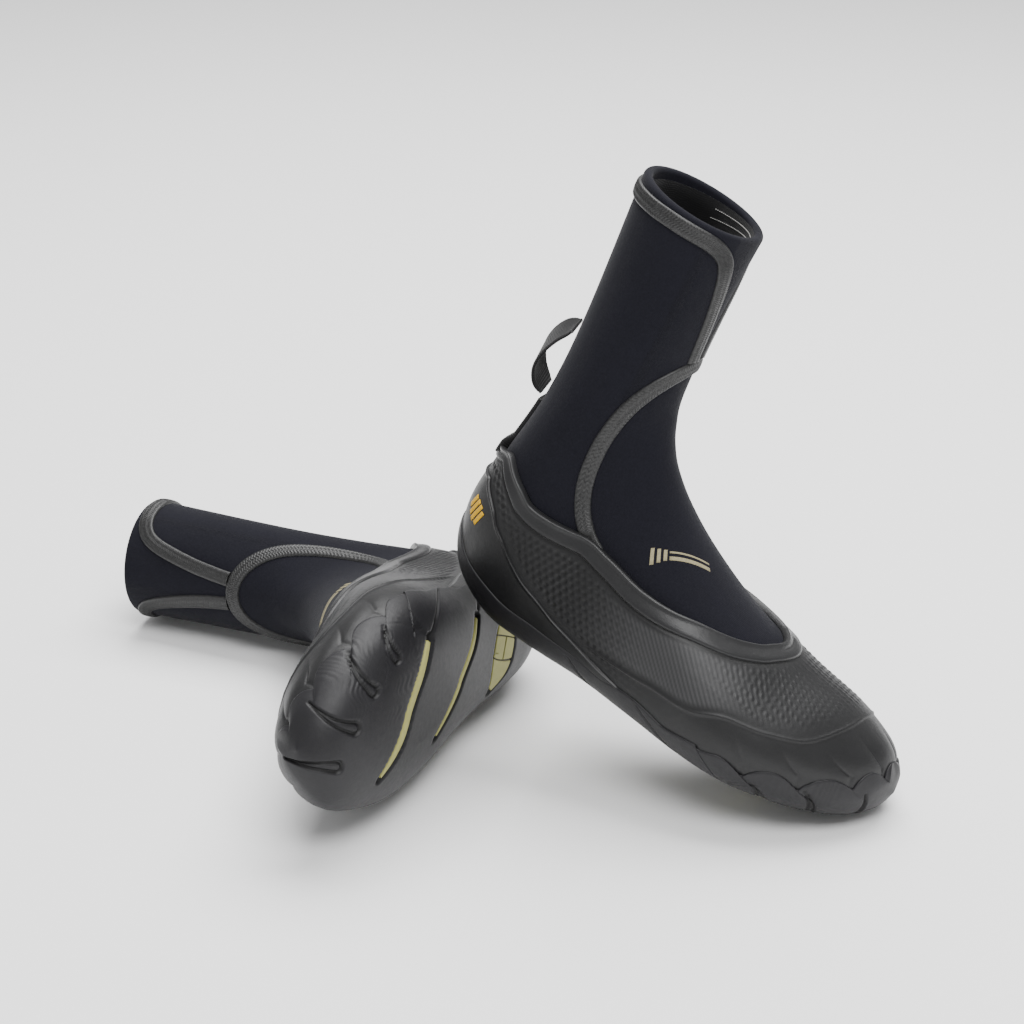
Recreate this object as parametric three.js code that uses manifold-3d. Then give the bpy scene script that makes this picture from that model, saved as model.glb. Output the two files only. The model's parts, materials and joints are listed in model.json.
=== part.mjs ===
// A pair of neoprene water boots: one lies on its medial side, the other stands on its toe with its heel on it.
// Millimetres, +Z up, the floor at z = 0.
import * as THREE from 'three';
import Module from 'manifold-3d';

const wasm = await Module();
wasm.setup();

// Driving dimensions.
const NEOPRENE = 5;
const LINING_GAP = 2.4;
const MOUTH_GAP = 0.7;
const LINING = 0.7;
const INSOLE = 3.5;
const RUBBER = 2.2;
const COUNTER = 2.6;
const BAND = 3.2;
const OUTSOLE = 4.2;
const INLAY_DEPTH = 1.8;
const TAPE = 1.3;
const TAPE_WIDTH = 9;
const STRAP_WIDTH = 14;
const STRAP = 1.6;
const LIFT = 0.4;
const TAPE_LIFT = 0.7;
const SEAM = 0.5;
const TIP = 0.8;
const HINGE = [60, 100];
const HINGE_RADIUS = 44;
// The flat tread under the ball of the foot.
const BALL_PAD = { from: 150, to: 235, half: 30, z: 0.5 };

// How each boot lies: yaw, pitch and roll in degrees, then its middle's position.
const LEFT_POSE = { turn: [244.6, -7.6, 90.2], at: [-127.8, 32.7, 46.7] };
const RIGHT_POSE = { turn: [-23.7, 21.3, -7.4], at: [34.2, -7.4, 94.5] };
const MIDDLE = [140, 0, 60];

// Cross-sections of the neoprene upper from toe tip to mouth, in the boot's own frame: x forward, z up.
// [bottom x, z, top x, z, lateral and medial half width, height share of the widest line, squareness below, skew]
const SECTIONS = [
  [281, 29, 281, 29, 0, 0, 0.50, 2.0, 0.45],
  [277, 19, 275, 43, 21.5, 18.5, 0.45, 2.1, 0.45],
  [268, 12, 262, 51.5, 37.5, 34.5, 0.42, 2.3, 0.45],
  [251, 7.5, 244, 58.5, 48.5, 42.5, 0.40, 2.5, 0.42],
  [222, 4.8, 213, 66, 54.5, 47.5, 0.38, 2.6, 0.30],
  [185, 4.6, 175, 80, 53.5, 46.5, 0.36, 2.6, 0.12],
  [148, 6, 143, 98, 47.5, 40.5, 0.34, 2.5, 0.03],
  [112, 8, 121, 114, 41.5, 37.5, 0.32, 2.4, 0],
  [78, 8, 107, 128, 37, 36, 0.32, 2.4, 0],
  [49, 11, 100, 139, 34.5, 34.5, 0.34, 2.3, 0],
  [25, 27, 96, 149, 32.5, 33.5, 0.40, 2.2, 0],
  [16, 55, 93, 161, 32, 33, 0.46, 2.0, 0],
  [19.5, 90, 92, 181, 32, 33, 0.50, 2.0, 0],
  [27, 132, 92, 204, 33, 33, 0.50, 2.0, 0],
  [29, 180, 93, 228, 34, 33, 0.50, 2.0, 0],
  [26, 265, 95, 258, 35, 34, 0.50, 2.0, 0],
];

// Lines drawn on the upper, as [section, degrees round it]: 0 is underneath or behind, 90 lateral, 180 on top.
// The topline and the sole's edge run from the back to the front with matching stops.
const TOPLINE = [
  [12.1, 0], [12.05, 28], [11.8, 50], [10.8, 80], [9.75, 100], [8.7, 113], [7.7, 117], [6.75, 120],
  [6.0, 127], [5.4, 138], [4.9, 149], [4.62, 159], [4.52, 166], [4.45, 173], [4.42, 180],
];
const SOLE_EDGE = [
  [10.85, 0], [10.75, 14], [10.45, 27], [9.9, 41], [9.2, 54], [8.3, 62], [7.4, 64], [6.5, 63],
  [5.6, 68], [4.6, 80], [3.6, 86], [2.6, 91], [1.6, 104], [1.02, 138], [0.95, 180],
];
const SOLE_CENTRE = [10.85, 10.5, 10.1, 9.6, 9.0, 8.2, 7.4, 6.5, 5.6, 4.6, 3.4, 2.2, 1.0, 0.1, -0.95];
const BAND_WIDTH = [6, 6, 7, 9, 10, 10, 10, 10, 10, 10.5, 11, 11, 11, 11, 11];
const RIDGE_SHARE = [0.79, 0.76, 0.74, 0.74, 0.6, 0.44, 0.28, 0.12, 0, 0, 0, 0, 0, 0, 0];
const COUNTER_END = 0.245;
const COLLAR_LINE = [
  [14.8, 0], [14.8, 60], [14.78, 110], [14.7, 135], [14.5, 146], [14.0, 154], [13.3, 160], [12.7, 164],
  [12.22, 169], [12.22, 180],
];
const THROAT_LOW = [[11.45, 114], [11.4, 118], [10.4, 132], [9.5, 150], [9.1, 165], [9.0, 180]];
const THROAT_HIGH = [[11.5, 114], [11.7, 119], [11.9, 125], [12.05, 135], [12.1, 150], [12.1, 180]];
const PANEL_SIDE = 115.5;
const COLLAR_TAPE = [
  [12.42, 166.5], [12.8, 164.5], [13.4, 160.5], [14.0, 154.5], [14.45, 147], [14.68, 137], [14.76, 120],
  [14.78, 90], [14.8, 60], [14.8, 30], [14.8, 0],
];
const INSTEP_TAPE = [
  [8.8, 114.5], [9.6, 115], [10.6, 116], [11.3, 117.5], [11.75, 122], [11.98, 131], [12.08, 145],
  [12.1, 162], [12.1, 180],
];
const FRONT_STRIPE = { path: [[4.62, 34], [4.35, 14], [3.9, -8], [3.35, -28]], width: [4, 5.4, 5, 2] };
const FRONT_GROOVE = { path: [[6.0, 72], [5.3, 55], [4.72, 37]], width: [1.2, 2, 3] };
const REAR_STRIPE = { path: [[6.6, 34], [6.2, 14], [5.6, -4], [5.0, -21]], width: [2.6, 3.2, 3, 1.6] };
const REAR_GROOVE = { path: [[7.3, 60], [7.0, 49], [6.72, 38]], width: [1.2, 1.6, 2] };
const HEEL_INLAY = { path: [[7.75, 27], [7.55, 11], [7.35, -8], [7.15, -26]], width: [5, 22, 24, 6] };
const TOE_GROOVES = [
  [[-0.35, 0.45], [-0.38, -0.5], [-0.42, -1.6]],
  [[0.85, -0.05], [0.6, -1.0], [0.35, -2.15]],
  [[2.1, -0.42], [1.65, -1.4], [1.15, -2.5]],
  [[3.0, -1.2], [2.5, -2.0], [2.0, -2.8]],
];

const rad = (degrees) => degrees * Math.PI / 180;
const mix = (a, b, t) => a + (b - a) * t;
const mixAll = (a, b, t) => a.map((value, i) => mix(value, b[i], t));
const add = (a, b, scale = 1) => a.map((value, i) => value + b[i] * scale);
const dot = (a, b) => a[0] * b[0] + a[1] * b[1] + a[2] * b[2];
const cross = (a, b) => [
  a[1] * b[2] - a[2] * b[1],
  a[2] * b[0] - a[0] * b[2],
  a[0] * b[1] - a[1] * b[0],
];
const unit = (a) => a.map((value) => value / Math.hypot(...a));

// A smooth run through rows of numbers, with u counted in rows.
function along(rows, u) {
  const last = rows.length - 1;
  const i = Math.max(0, Math.min(Math.floor(u), last - 1));
  const t = u - i;
  const row = (j) => {
    if (j < 0) return add(rows[0], add(rows[0], rows[1], -1));
    if (j > last) return add(rows[last], add(rows[last], rows[last - 1], -1));
    return rows[j];
  };
  const [a, b, c, d] = [row(i - 1), row(i), row(i + 1), row(i + 2)];
  return b.map((value, n) => {
    const slope = (c[n] - a[n]) / 2;
    const next = (d[n] - b[n]) / 2;
    const bend = 3 * (c[n] - value) - 2 * slope - next;
    const twist = 2 * (value - c[n]) + slope + next;
    return value + t * (slope + t * (bend + t * twist));
  });
}

const run = (rows, s) => along(rows, s * (rows.length - 1));
const level = (values, s) => run(values.map((value) => [value]), s)[0];
const toRadians = (rows) => rows.map(([k, degrees]) => [k, rad(degrees)]);

// A point on the outside of the neoprene.
function skin(k, phi) {
  const [lowX, lowZ, topX, topZ, lateral, medial, widest, square, skew] = along(SECTIONS, k);
  const cos = Math.cos(phi);
  const sin = Math.sin(phi);
  const power = cos > 0 ? 2 / square : 1;
  const reach = cos > 0 ? widest : 1 - widest;
  const share = widest - Math.sign(cos) * reach * Math.abs(cos) ** power;
  const y = Math.sign(sin) * (sin > 0 ? lateral : medial) * Math.abs(sin) ** power;
  return [mix(lowX, topX, share) - skew * (y + 14) ** 2 / 60, y, mix(lowZ, topZ, share)];
}

function slopes(k, phi) {
  const step = 0.02;
  return [
    add(skin(k + step, phi), skin(k - step, phi), -1).map((value) => value / (2 * step)),
    add(skin(k, phi + step), skin(k, phi - step), -1).map((value) => value / (2 * step)),
  ];
}

// A point off the neoprene's outside by h, measured square to it and straight forward at the toe's tip.
function off(k, phi, h) {
  const forward = [1, 0, 0];
  if (k < 0.03) return add(skin(0, 0), forward, h);
  const square = unit(cross(...slopes(k, phi)));
  return add(skin(k, phi), unit(mixAll(forward, square, Math.min(1, k / TIP))), h);
}

// Moves a point of a line sideways by a distance in mm; positive is towards the sole or the toe.
function sideways(line, s, distance) {
  let [k, phi] = line(s);
  const step = 0.004;
  const heading = add(skin(...line(s + step)), skin(...line(s - step)), -1);
  for (let part = 0; part < 2; part += 1) {
    const [a, b] = slopes(k, phi);
    const side = unit(cross(unit(cross(a, b)), heading)).map((value) => value * distance / 2);
    const [aa, ab, bb] = [dot(a, a), dot(a, b), dot(b, b)];
    const [ga, gb] = [dot(a, side), dot(b, side)];
    const det = aa * bb - ab * ab;
    k += (ga * bb - gb * ab) / det;
    phi += (gb * aa - ga * ab) / det;
  }
  return [k, phi];
}

// A line that goes all the way round: s = 0 and 1 at the back, 0.5 in front.
function loopLine(rows) {
  const half = toRadians(rows);
  const other = half.slice(1, -1).reverse().map(([k, phi]) => [k, 2 * Math.PI - phi]);
  const lap = [...half, ...other];
  const turn = [0, 2 * Math.PI];
  const rowsWithEnds = [
    add(lap[lap.length - 1], turn, -1),
    ...lap,
    add(lap[0], turn),
    add(lap[1], turn),
  ];
  return (s) => {
    const laps = Math.floor(s);
    const [k, phi] = along(rowsWithEnds, 1 + (s - laps) * lap.length);
    return [k, phi + 2 * Math.PI * laps];
  };
}

// A line over the boot from its lateral stops to their mirror image, over the front or round the back.
function archLine(rows, centre) {
  const half = toRadians(rows);
  const other = half.slice(0, -1).reverse().map(([k, phi]) => [k, 2 * rad(centre) - phi]);
  return (s) => run([...half, ...other], s);
}

// How far s is from the back towards the front, from either side: 0 at the back, 1 in front.
const fold = (s) => 1 - Math.abs(1 - 2 * (s - Math.floor(s)));
// Stops crowd together at the back and in front, where the lines bend most.
const spread = (s) => s - 0.03 * Math.sin(4 * Math.PI * s);
const toplineRun = loopLine(TOPLINE);
const soleRun = loopLine(SOLE_EDGE);
const topline = (s) => toplineRun(spread(s));
const soleEdge = (s) => soleRun(spread(s));
const bandWidth = (s) => level(BAND_WIDTH, fold(spread(s)));
const bandFoot = (s, gap = 0) => sideways(topline, s, bandWidth(s) + gap);
const ridgeShare = (s) => Math.max(0, level(RIDGE_SHARE, fold(spread(s))));
const ridge = (s) => mixAll(soleEdge(s), bandFoot(s), ridgeShare(s));

// The value of a line's section at an angle, both in table units; the angle is mirrored past the front.
function sectionAt(rows, phi) {
  const degrees = Math.abs(((phi * 180 / Math.PI + 540) % 360) - 180);
  const j = Math.max(1, rows.findIndex((row) => row[1] >= degrees - 1e-9));
  const [[k0, d0], [k1, d1]] = [rows[j - 1], rows[j]];
  return mix(k0, k1, (degrees - d0) / (d1 - d0));
}

// The section where the upper leaves a cylinder of radius r round the ankle's axis.
function leavesAnkle(phi, h, r) {
  let [low, high] = [11.3, 13.6];
  for (let n = 0; n < 30; n += 1) {
    const middle = (low + high) / 2;
    const [x, , z] = off(middle, phi, h);
    if (Math.hypot(x - HINGE[0], z - HINGE[1]) < r) low = middle;
    else high = middle;
  }
  return low;
}

// A closed body from points and faces; points that coincide are joined and empty faces dropped.
function body(points, faces) {
  const index = new Map();
  const kept = [];
  const id = points.map((p) => {
    const key = p.map((value) => Math.round(value * 2000)).join();
    if (!index.has(key)) {
      index.set(key, kept.length);
      kept.push(p);
    }
    return index.get(key);
  });
  const triangles = [];
  for (const face of faces) {
    const [a, b, c] = face.map((n) => id[n]);
    if (a !== b && b !== c && c !== a) triangles.push([a, b, c]);
  }
  const volume = triangles.reduce((sum, [a, b, c]) => sum + dot(kept[a], cross(kept[b], kept[c])), 0);
  const geometry = new THREE.BufferGeometry();
  geometry.setAttribute('position', new THREE.Float32BufferAttribute(kept.flat(), 3));
  geometry.setIndex(triangles.flatMap(([a, b, c]) => (volume > 0 ? [a, b, c] : [a, c, b])));
  return geometry;
}

// A layer of the boot: the space between two offsets of the upper over a patch of it.
// at(s, t, h) is the patch; a ring joins t = 1 to t = 0; tip leaves out the wall at s = 0, at the toe's tip.
function layer({ rows, cols, at, inner, outer, ring = false, tip = false }) {
  const height = (h, s, t) => (typeof h === 'function' ? h(s, t) : h);
  const columns = ring ? cols : cols + 1;
  const points = [];
  for (const h of [inner, outer]) {
    for (let i = 0; i <= rows; i += 1) {
      for (let j = 0; j < columns; j += 1) {
        const [s, t] = [i / rows, j / cols];
        const lift = height(h, s, t);
        points.push(off(...at(s, t, lift), lift));
      }
    }
  }
  const face = (rows + 1) * columns;
  const id = (top, i, j) => (top ? face : 0) + i * columns + (j % columns);
  const faces = [];
  const quad = (a, b, c, d) => faces.push([a, b, c], [a, c, d]);
  for (let i = 0; i < rows; i += 1) {
    for (let j = 0; j < cols; j += 1) {
      quad(id(1, i, j), id(1, i + 1, j), id(1, i + 1, j + 1), id(1, i, j + 1));
      quad(id(0, i, j), id(0, i, j + 1), id(0, i + 1, j + 1), id(0, i + 1, j));
    }
  }
  for (let j = 0; j < cols; j += 1) {
    if (!tip) quad(id(0, 0, j), id(1, 0, j), id(1, 0, j + 1), id(0, 0, j + 1));
    quad(id(1, rows, j), id(0, rows, j), id(0, rows, j + 1), id(1, rows, j + 1));
  }
  if (!ring) {
    for (let i = 0; i < rows; i += 1) {
      quad(id(1, i, 0), id(0, i, 0), id(0, i + 1, 0), id(1, i + 1, 0));
      quad(id(0, i, cols), id(1, i, cols), id(1, i + 1, cols), id(0, i + 1, cols));
    }
  }
  return body(points, faces);
}

// A strip that follows a line, its width centred on it.
function strip(line, width, rows, inner, outer, cols = 2) {
  return layer({
    rows,
    cols,
    at: (s, t) => sideways(line, s, (t - 0.5) * (typeof width === 'function' ? width(s) : width)),
    inner,
    outer,
  });
}

const tapeCrown = (s, t) => TAPE_LIFT + TAPE * (0.55 + 0.45 * Math.sin(Math.PI * t));

// The sole's patch: cross rows between the two sides of the sole's edge, which stays clear of the toe tip's pole.
function soleAt(s, t, margin) {
  const place = 1 - s;
  const side = 2 * t - 1;
  const [k, phi] = sideways(soleEdge, place / 2, margin);
  const [endA, endB] = [s > 0 && s < 1 ? k * Math.sin(phi) : 0, -k * Math.cos(phi)];
  const centre = -level(SOLE_CENTRE, 2 * spread(place / 2));
  const a = endA * side;
  const b = s > 0 && s < 1 ? mix(centre, endB, side * side) : endB;
  return [Math.hypot(a, b), Math.atan2(a, -b)];
}

const lineOf = (rows) => {
  const points = toRadians(rows);
  return (s) => run(points, s);
};

// A line given by its steps sideways and forward from the toe's tip, which passes near that tip.
const toeLine = (rows) => (s) => {
  const [a, b] = run(rows, s);
  return [Math.hypot(a, b), Math.atan2(a, -b)];
};

function toManifold(geometry) {
  return new wasm.Manifold(new wasm.Mesh({
    numProp: 3,
    vertProperties: new Float32Array(geometry.attributes.position.array),
    triVerts: new Uint32Array(geometry.index.array),
  }));
}

function cut(geometry, cutters) {
  let solid = toManifold(geometry);
  for (const cutter of cutters) solid = solid.subtract(cutter);
  const mesh = solid.getMesh();
  const points = [];
  for (let n = 0; n < mesh.vertProperties.length; n += mesh.numProp) {
    points.push(Array.from(mesh.vertProperties.slice(n, n + 3)));
  }
  const faces = [];
  for (let n = 0; n < mesh.triVerts.length; n += 3) faces.push(Array.from(mesh.triVerts.slice(n, n + 3)));
  return body(points, faces);
}

// The block that is taken off below the flat tread.
function underBallPad() {
  const { from, to, half, z } = BALL_PAD;
  const depth = 6;
  return wasm.Manifold.cube([to - from, 2 * half, depth]).translate([from, -half, z - depth]);
}

const SOLE_ROWS = 18;
const SOLE_FACE = LIFT + OUTSOLE;

function outsole() {
  const blank = layer({
    rows: SOLE_ROWS,
    cols: 8,
    at: (s, t) => soleAt(s, t, SEAM / 2),
    inner: LIFT,
    outer: (s, t) => mix(LIFT + RUBBER, SOLE_FACE, Math.min(1, 3 * Math.min(t, 1 - t, s, 1 - s) + 0.25)),
  });
  const floor = SOLE_FACE - INLAY_DEPTH;
  const slot = ({ path, width }, rows) => strip(lineOf(path), (s) => level(width, s), rows, floor, 9);
  const groove = ({ path, width }) => strip(lineOf(path), (s) => level(width, s), 3, SOLE_FACE - 1.4, 9, 1);
  const toe = (path) => strip(toeLine(path), (s) => 1.2 + 2.4 * s, 3, SOLE_FACE - 1.6, 9, 1);
  const recesses = [
    slot(FRONT_STRIPE, 6),
    slot(REAR_STRIPE, 5),
    slot(HEEL_INLAY, 4),
    groove(FRONT_GROOVE),
    groove(REAR_GROOVE),
    ...TOE_GROOVES.map(toe),
  ];
  return cut(blank, [underBallPad(), ...recesses.map(toManifold)]);
}

function inlay({ path, width }, rows) {
  const short = (s) => lineOf(path)(mix(0.03, 0.97, s));
  return strip(short, (s) => level(width, mix(0.03, 0.97, s)) - 0.8, rows, SOLE_FACE - INLAY_DEPTH + 0.3, SOLE_FACE);
}

function rubberUpper() {
  return layer({
    rows: 5,
    cols: 2 * SOLE_ROWS,
    ring: true,
    at: (s, t) => {
      const top = sideways(topline, t, bandWidth(t) + SEAM);
      const low = sideways(ridge, t, -SEAM / 2);
      return mixAll(top, low, s);
    },
    inner: LIFT,
    outer: LIFT + RUBBER,
  });
}

// The smooth counter: behind the ridge, from one side of the waist round the heel to the other.
function heelCounter() {
  return layer({
    rows: 3,
    cols: 2 * Math.round(COUNTER_END * 2 * SOLE_ROWS),
    at: (s, t) => {
      const u = (2 * t - 1) * COUNTER_END;
      const top = sideways(ridge, u, SEAM / 2);
      const low = sideways(soleEdge, u, -SEAM / 2);
      return mixAll(top, low, s);
    },
    inner: LIFT,
    outer: LIFT + COUNTER,
  });
}

function toplineBand() {
  return layer({
    rows: 2,
    cols: 2 * SOLE_ROWS,
    ring: true,
    at: (s, t) => sideways(topline, t, bandWidth(t) * s),
    inner: 2 * LIFT,
    outer: (s) => LIFT + (s === 0.5 ? BAND : BAND * 0.7),
  });
}

// The neoprene board stitched in under the foot.
function soleBoard() {
  return layer({
    rows: SOLE_ROWS - 1,
    cols: 8,
    at: (s, t) => soleAt(mix(1 / SOLE_ROWS, 1, s), t, SEAM / 2),
    inner: -NEOPRENE,
    outer: 0,
  });
}

// The neoprene wall under the rubber, from the sole's edge to under the topline band.
function sidePanel() {
  return layer({
    rows: 4,
    cols: 2 * SOLE_ROWS,
    ring: true,
    at: (s, t) => {
      const low = sideways(soleEdge, t, -SEAM / 2);
      return mixAll(sideways(topline, t, bandWidth(t) - 1.5), low, s);
    },
    inner: -NEOPRENE,
    outer: -0.3,
  });
}

const underBand = (phi) => {
  let [low, high] = [0, 0.5];
  const degrees = Math.abs(((phi * 180 / Math.PI + 540) % 360) - 180);
  for (let n = 0; n < 30; n += 1) {
    const middle = (low + high) / 2;
    if (topline(middle)[1] < rad(degrees)) low = middle;
    else high = middle;
  }
  return sideways(topline, low, 1.5)[0];
};

// The neoprene over the instep, up to where the ankle starts to flex.
function instepPanel() {
  const side = rad(PANEL_SIDE + 1);
  return layer({
    rows: 6,
    cols: 12,
    at: (s, t) => {
      const phi = mix(side, 2 * Math.PI - side, t);
      return [mix(underBand(phi), sectionAt(THROAT_LOW, phi) - 0.06, s), phi];
    },
    inner: -NEOPRENE,
    outer: 0,
  });
}

// The neoprene that folds in front of the ankle.
function throatPanel() {
  const side = rad(PANEL_SIDE + 5);
  return layer({
    rows: 4,
    cols: 12,
    at: (s, t) => {
      const phi = mix(side, 2 * Math.PI - side, t);
      return [mix(sectionAt(THROAT_LOW, phi) + 0.06, sectionAt(THROAT_HIGH, phi) - 0.05, s), phi];
    },
    inner: -NEOPRENE,
    outer: 0,
  });
}

function heelPanel() {
  const side = rad(PANEL_SIDE - 1);
  return layer({
    rows: 5,
    cols: 18,
    at: (s, t, h) => {
      const phi = mix(-side, side, t);
      return [mix(underBand(phi), leavesAnkle(phi, h, HINGE_RADIUS - 0.3), s), phi];
    },
    inner: -NEOPRENE,
    outer: 0,
  });
}

function calfPanel() {
  const side = rad(165);
  return layer({
    rows: 5,
    cols: 22,
    at: (s, t, h) => {
      const phi = mix(-side, side, t);
      const arc = leavesAnkle(phi, h, HINGE_RADIUS + 0.4);
      const throat = Math.abs(phi) > rad(117) ? sectionAt(THROAT_HIGH, phi) + 0.05 : 0;
      return [mix(Math.max(arc, throat), sectionAt(COLLAR_LINE, phi) - 0.06, s), phi];
    },
    inner: -NEOPRENE,
    outer: 0,
  });
}

// The collar, with its strip down the front and a rounded rim.
function collarPanel() {
  const stops = [0, 0.25, 0.5, 0.75, 0.93, 1];
  return layer({
    rows: 5,
    cols: 30,
    ring: true,
    at: (s, t) => {
      const phi = 2 * Math.PI * t;
      return [mix(sectionAt(COLLAR_LINE, phi) + 0.06, 15, stops[Math.round(5 * s)]), phi];
    },
    inner: (s) => (s === 1 ? 1 - NEOPRENE : -NEOPRENE),
    outer: (s) => (s === 1 ? -1 : 0),
  });
}

// The sock-like lining, closed at the toe and open at the mouth.
function lining() {
  const underfoot = [0, 0.05, 0.14, 0.27, 0.42, 0.57, 0.7, 0.82, 0.91, 1];
  const [atSole, atTopline] = [9 / 20, 12 / 20];
  const gap = (s) => mix(LINING_GAP, MOUTH_GAP, Math.max(0, Math.min(1, (s - 0.8) * 8)));
  return layer({
    rows: 20,
    cols: SOLE_ROWS,
    ring: true,
    tip: true,
    at: (s, t) => {
      const [low, high] = [soleEdge(t), topline(t)];
      if (s <= atSole) return [low[0] * underfoot[Math.round(s * 20)], low[1]];
      if (s <= atTopline) return mixAll(low, high, (s - atSole) / (atTopline - atSole));
      return mixAll(high, [14.92, 2 * Math.PI * t], (s - atTopline) / (1 - atTopline));
    },
    inner: (s) => -NEOPRENE - gap(s) - LINING,
    outer: (s) => -NEOPRENE - gap(s),
  });
}

function insole() {
  const top = -NEOPRENE - LINING_GAP - LINING - 1.8;
  const reach = [16, 37, 42, 42, 42, 40, 34, 18];
  return layer({
    rows: 10,
    cols: 6,
    at: (s, t) => [mix(1.5, 9.15, s), rad((2 * t - 1) * level(reach, s))],
    inner: top - INSOLE,
    outer: top,
  });
}

// The webbing loop, bowed out from its two sewn ends behind the calf.
function pullLoop() {
  const path = new THREE.CatmullRomCurve3([
    [26.6, 171.5], [20, 165], [15.6, 156], [14.6, 147], [18, 139], [24.6, 133.2],
  ].map(([x, z]) => new THREE.Vector3(x, z, 0)));
  const count = 10;
  const edge = (reach) => Array.from({ length: count + 1 }, (_, n) => {
    const at = path.getPoint(n / count);
    const heading = path.getTangent(n / count);
    return new THREE.Vector2(at.x - heading.y * reach, at.y + heading.x * reach);
  });
  const outline = new THREE.Shape([...edge(STRAP / 2), ...edge(-STRAP / 2).reverse()]);
  const band = new THREE.ExtrudeGeometry(outline, { depth: STRAP_WIDTH, bevelEnabled: false });
  band.translate(0, 0, -STRAP_WIDTH / 2);
  band.rotateX(Math.PI / 2);
  const flat = band.index ? band.toNonIndexed() : band;
  const points = [];
  for (let n = 0; n < flat.attributes.position.count; n += 1) {
    points.push(new THREE.Vector3().fromBufferAttribute(flat.attributes.position, n).toArray());
  }
  const faces = Array.from({ length: points.length / 3 }, (_, n) => [3 * n, 3 * n + 1, 3 * n + 2]);
  return body(points, faces);
}

function backStrap() {
  return strip(lineOf([[12.92, 0], [12.5, 0], [12.2, 0]]), STRAP_WIDTH - 1, 4, LIFT, LIFT + STRAP);
}

const collarTape = () => {
  const line = archLine(COLLAR_TAPE, 0);
  return strip(line, TAPE_WIDTH, 36, TAPE_LIFT, tapeCrown);
};

const instepTape = () => {
  const line = archLine(INSTEP_TAPE, 180);
  return strip(line, TAPE_WIDTH, 28, TAPE_LIFT, tapeCrown);
};

const LOOKS = {
  neoprene: { color: 0x1f1f26, roughness: 0.85 },
  rubber: { color: 0x3e3e40, roughness: 0.55 },
  sole: { color: 0x38373d, roughness: 0.5 },
  lime: { color: 0xb2b06a, roughness: 0.55 },
  tape: { color: 0x4c4c4c, roughness: 0.6 },
  webbing: { color: 0x2b2b2b, roughness: 0.9 },
  lining: { color: 0x141416, roughness: 0.95 },
  foam: { color: 0x26262a, roughness: 0.95 },
};

const PIECES = [
  ['outsole', 'sole', outsole],
  ['flex_stripe_front', 'lime', () => inlay(FRONT_STRIPE, 6)],
  ['flex_stripe_rear', 'lime', () => inlay(REAR_STRIPE, 5)],
  ['heel_inlay', 'lime', () => inlay(HEEL_INLAY, 4)],
  ['rubber_upper', 'rubber', rubberUpper],
  ['heel_counter', 'rubber', heelCounter],
  ['topline_band', 'rubber', toplineBand],
  ['sole_board', 'neoprene', soleBoard],
  ['side_panel', 'neoprene', sidePanel],
  ['insole', 'foam', insole],
  ['lining', 'lining', lining],
  ['instep_panel', 'neoprene', instepPanel],
  ['throat_panel', 'neoprene', throatPanel],
  ['heel_panel', 'neoprene', heelPanel],
  ['calf_panel', 'neoprene', calfPanel],
  ['collar_panel', 'neoprene', collarPanel],
  ['collar_tape', 'tape', collarTape],
  ['instep_tape', 'tape', instepTape],
  ['pull_loop', 'webbing', pullLoop],
  ['back_strap', 'webbing', backStrap],
];

function placing({ turn, at }) {
  const [yaw, pitch, roll] = turn.map(rad);
  return new THREE.Matrix4()
    .makeTranslation(...at)
    .multiply(new THREE.Matrix4().makeRotationZ(yaw))
    .multiply(new THREE.Matrix4().makeRotationY(pitch))
    .multiply(new THREE.Matrix4().makeRotationX(roll))
    .multiply(new THREE.Matrix4().makeTranslation(-MIDDLE[0], -MIDDLE[1], -MIDDLE[2]));
}

function mirrored(geometry) {
  const other = geometry.clone().scale(1, -1, 1);
  const index = Array.from(other.index.array);
  for (let n = 0; n < index.length; n += 3) [index[n], index[n + 1]] = [index[n + 1], index[n]];
  other.setIndex(index);
  return other;
}

const group = new THREE.Group();
group.name = 'neoprene_boots';
for (const [name, look, make] of PIECES) {
  const shape = make();
  const sides = [['left', shape.clone(), LEFT_POSE], ['right', mirrored(shape), RIGHT_POSE]];
  for (const [side, geometry, pose] of sides) {
    geometry.applyMatrix4(placing(pose));
    geometry.computeVertexNormals();
    const material = new THREE.MeshStandardMaterial(LOOKS[look]);
    material.name = look;
    const mesh = new THREE.Mesh(geometry, material);
    mesh.name = `${side}_${name}`;
    group.add(mesh);
  }
}

// The pair's middle goes over the origin, its lowest point on the floor.
const box = new THREE.Box3().setFromObject(group);
const centre = box.getCenter(new THREE.Vector3());
for (const mesh of group.children) mesh.geometry.translate(-centre.x, -centre.y, -box.min.z);

export default group;
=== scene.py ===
"""The looks of a pair of neoprene water boots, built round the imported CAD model.

Both boots come from one set of shapes in the boot's own frame: millimetres, x forward, y to the lateral
side, z up.
SECTIONS gives the outside of the neoprene, and every piece lies between offsets of it, as in the CAD.
The right boot is the left one mirrored, and each boot is put where its ankle joint is.
"""

import json

import bmesh
import bpy
import numpy as np
from mathutils import Euler, Matrix, Vector


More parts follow.
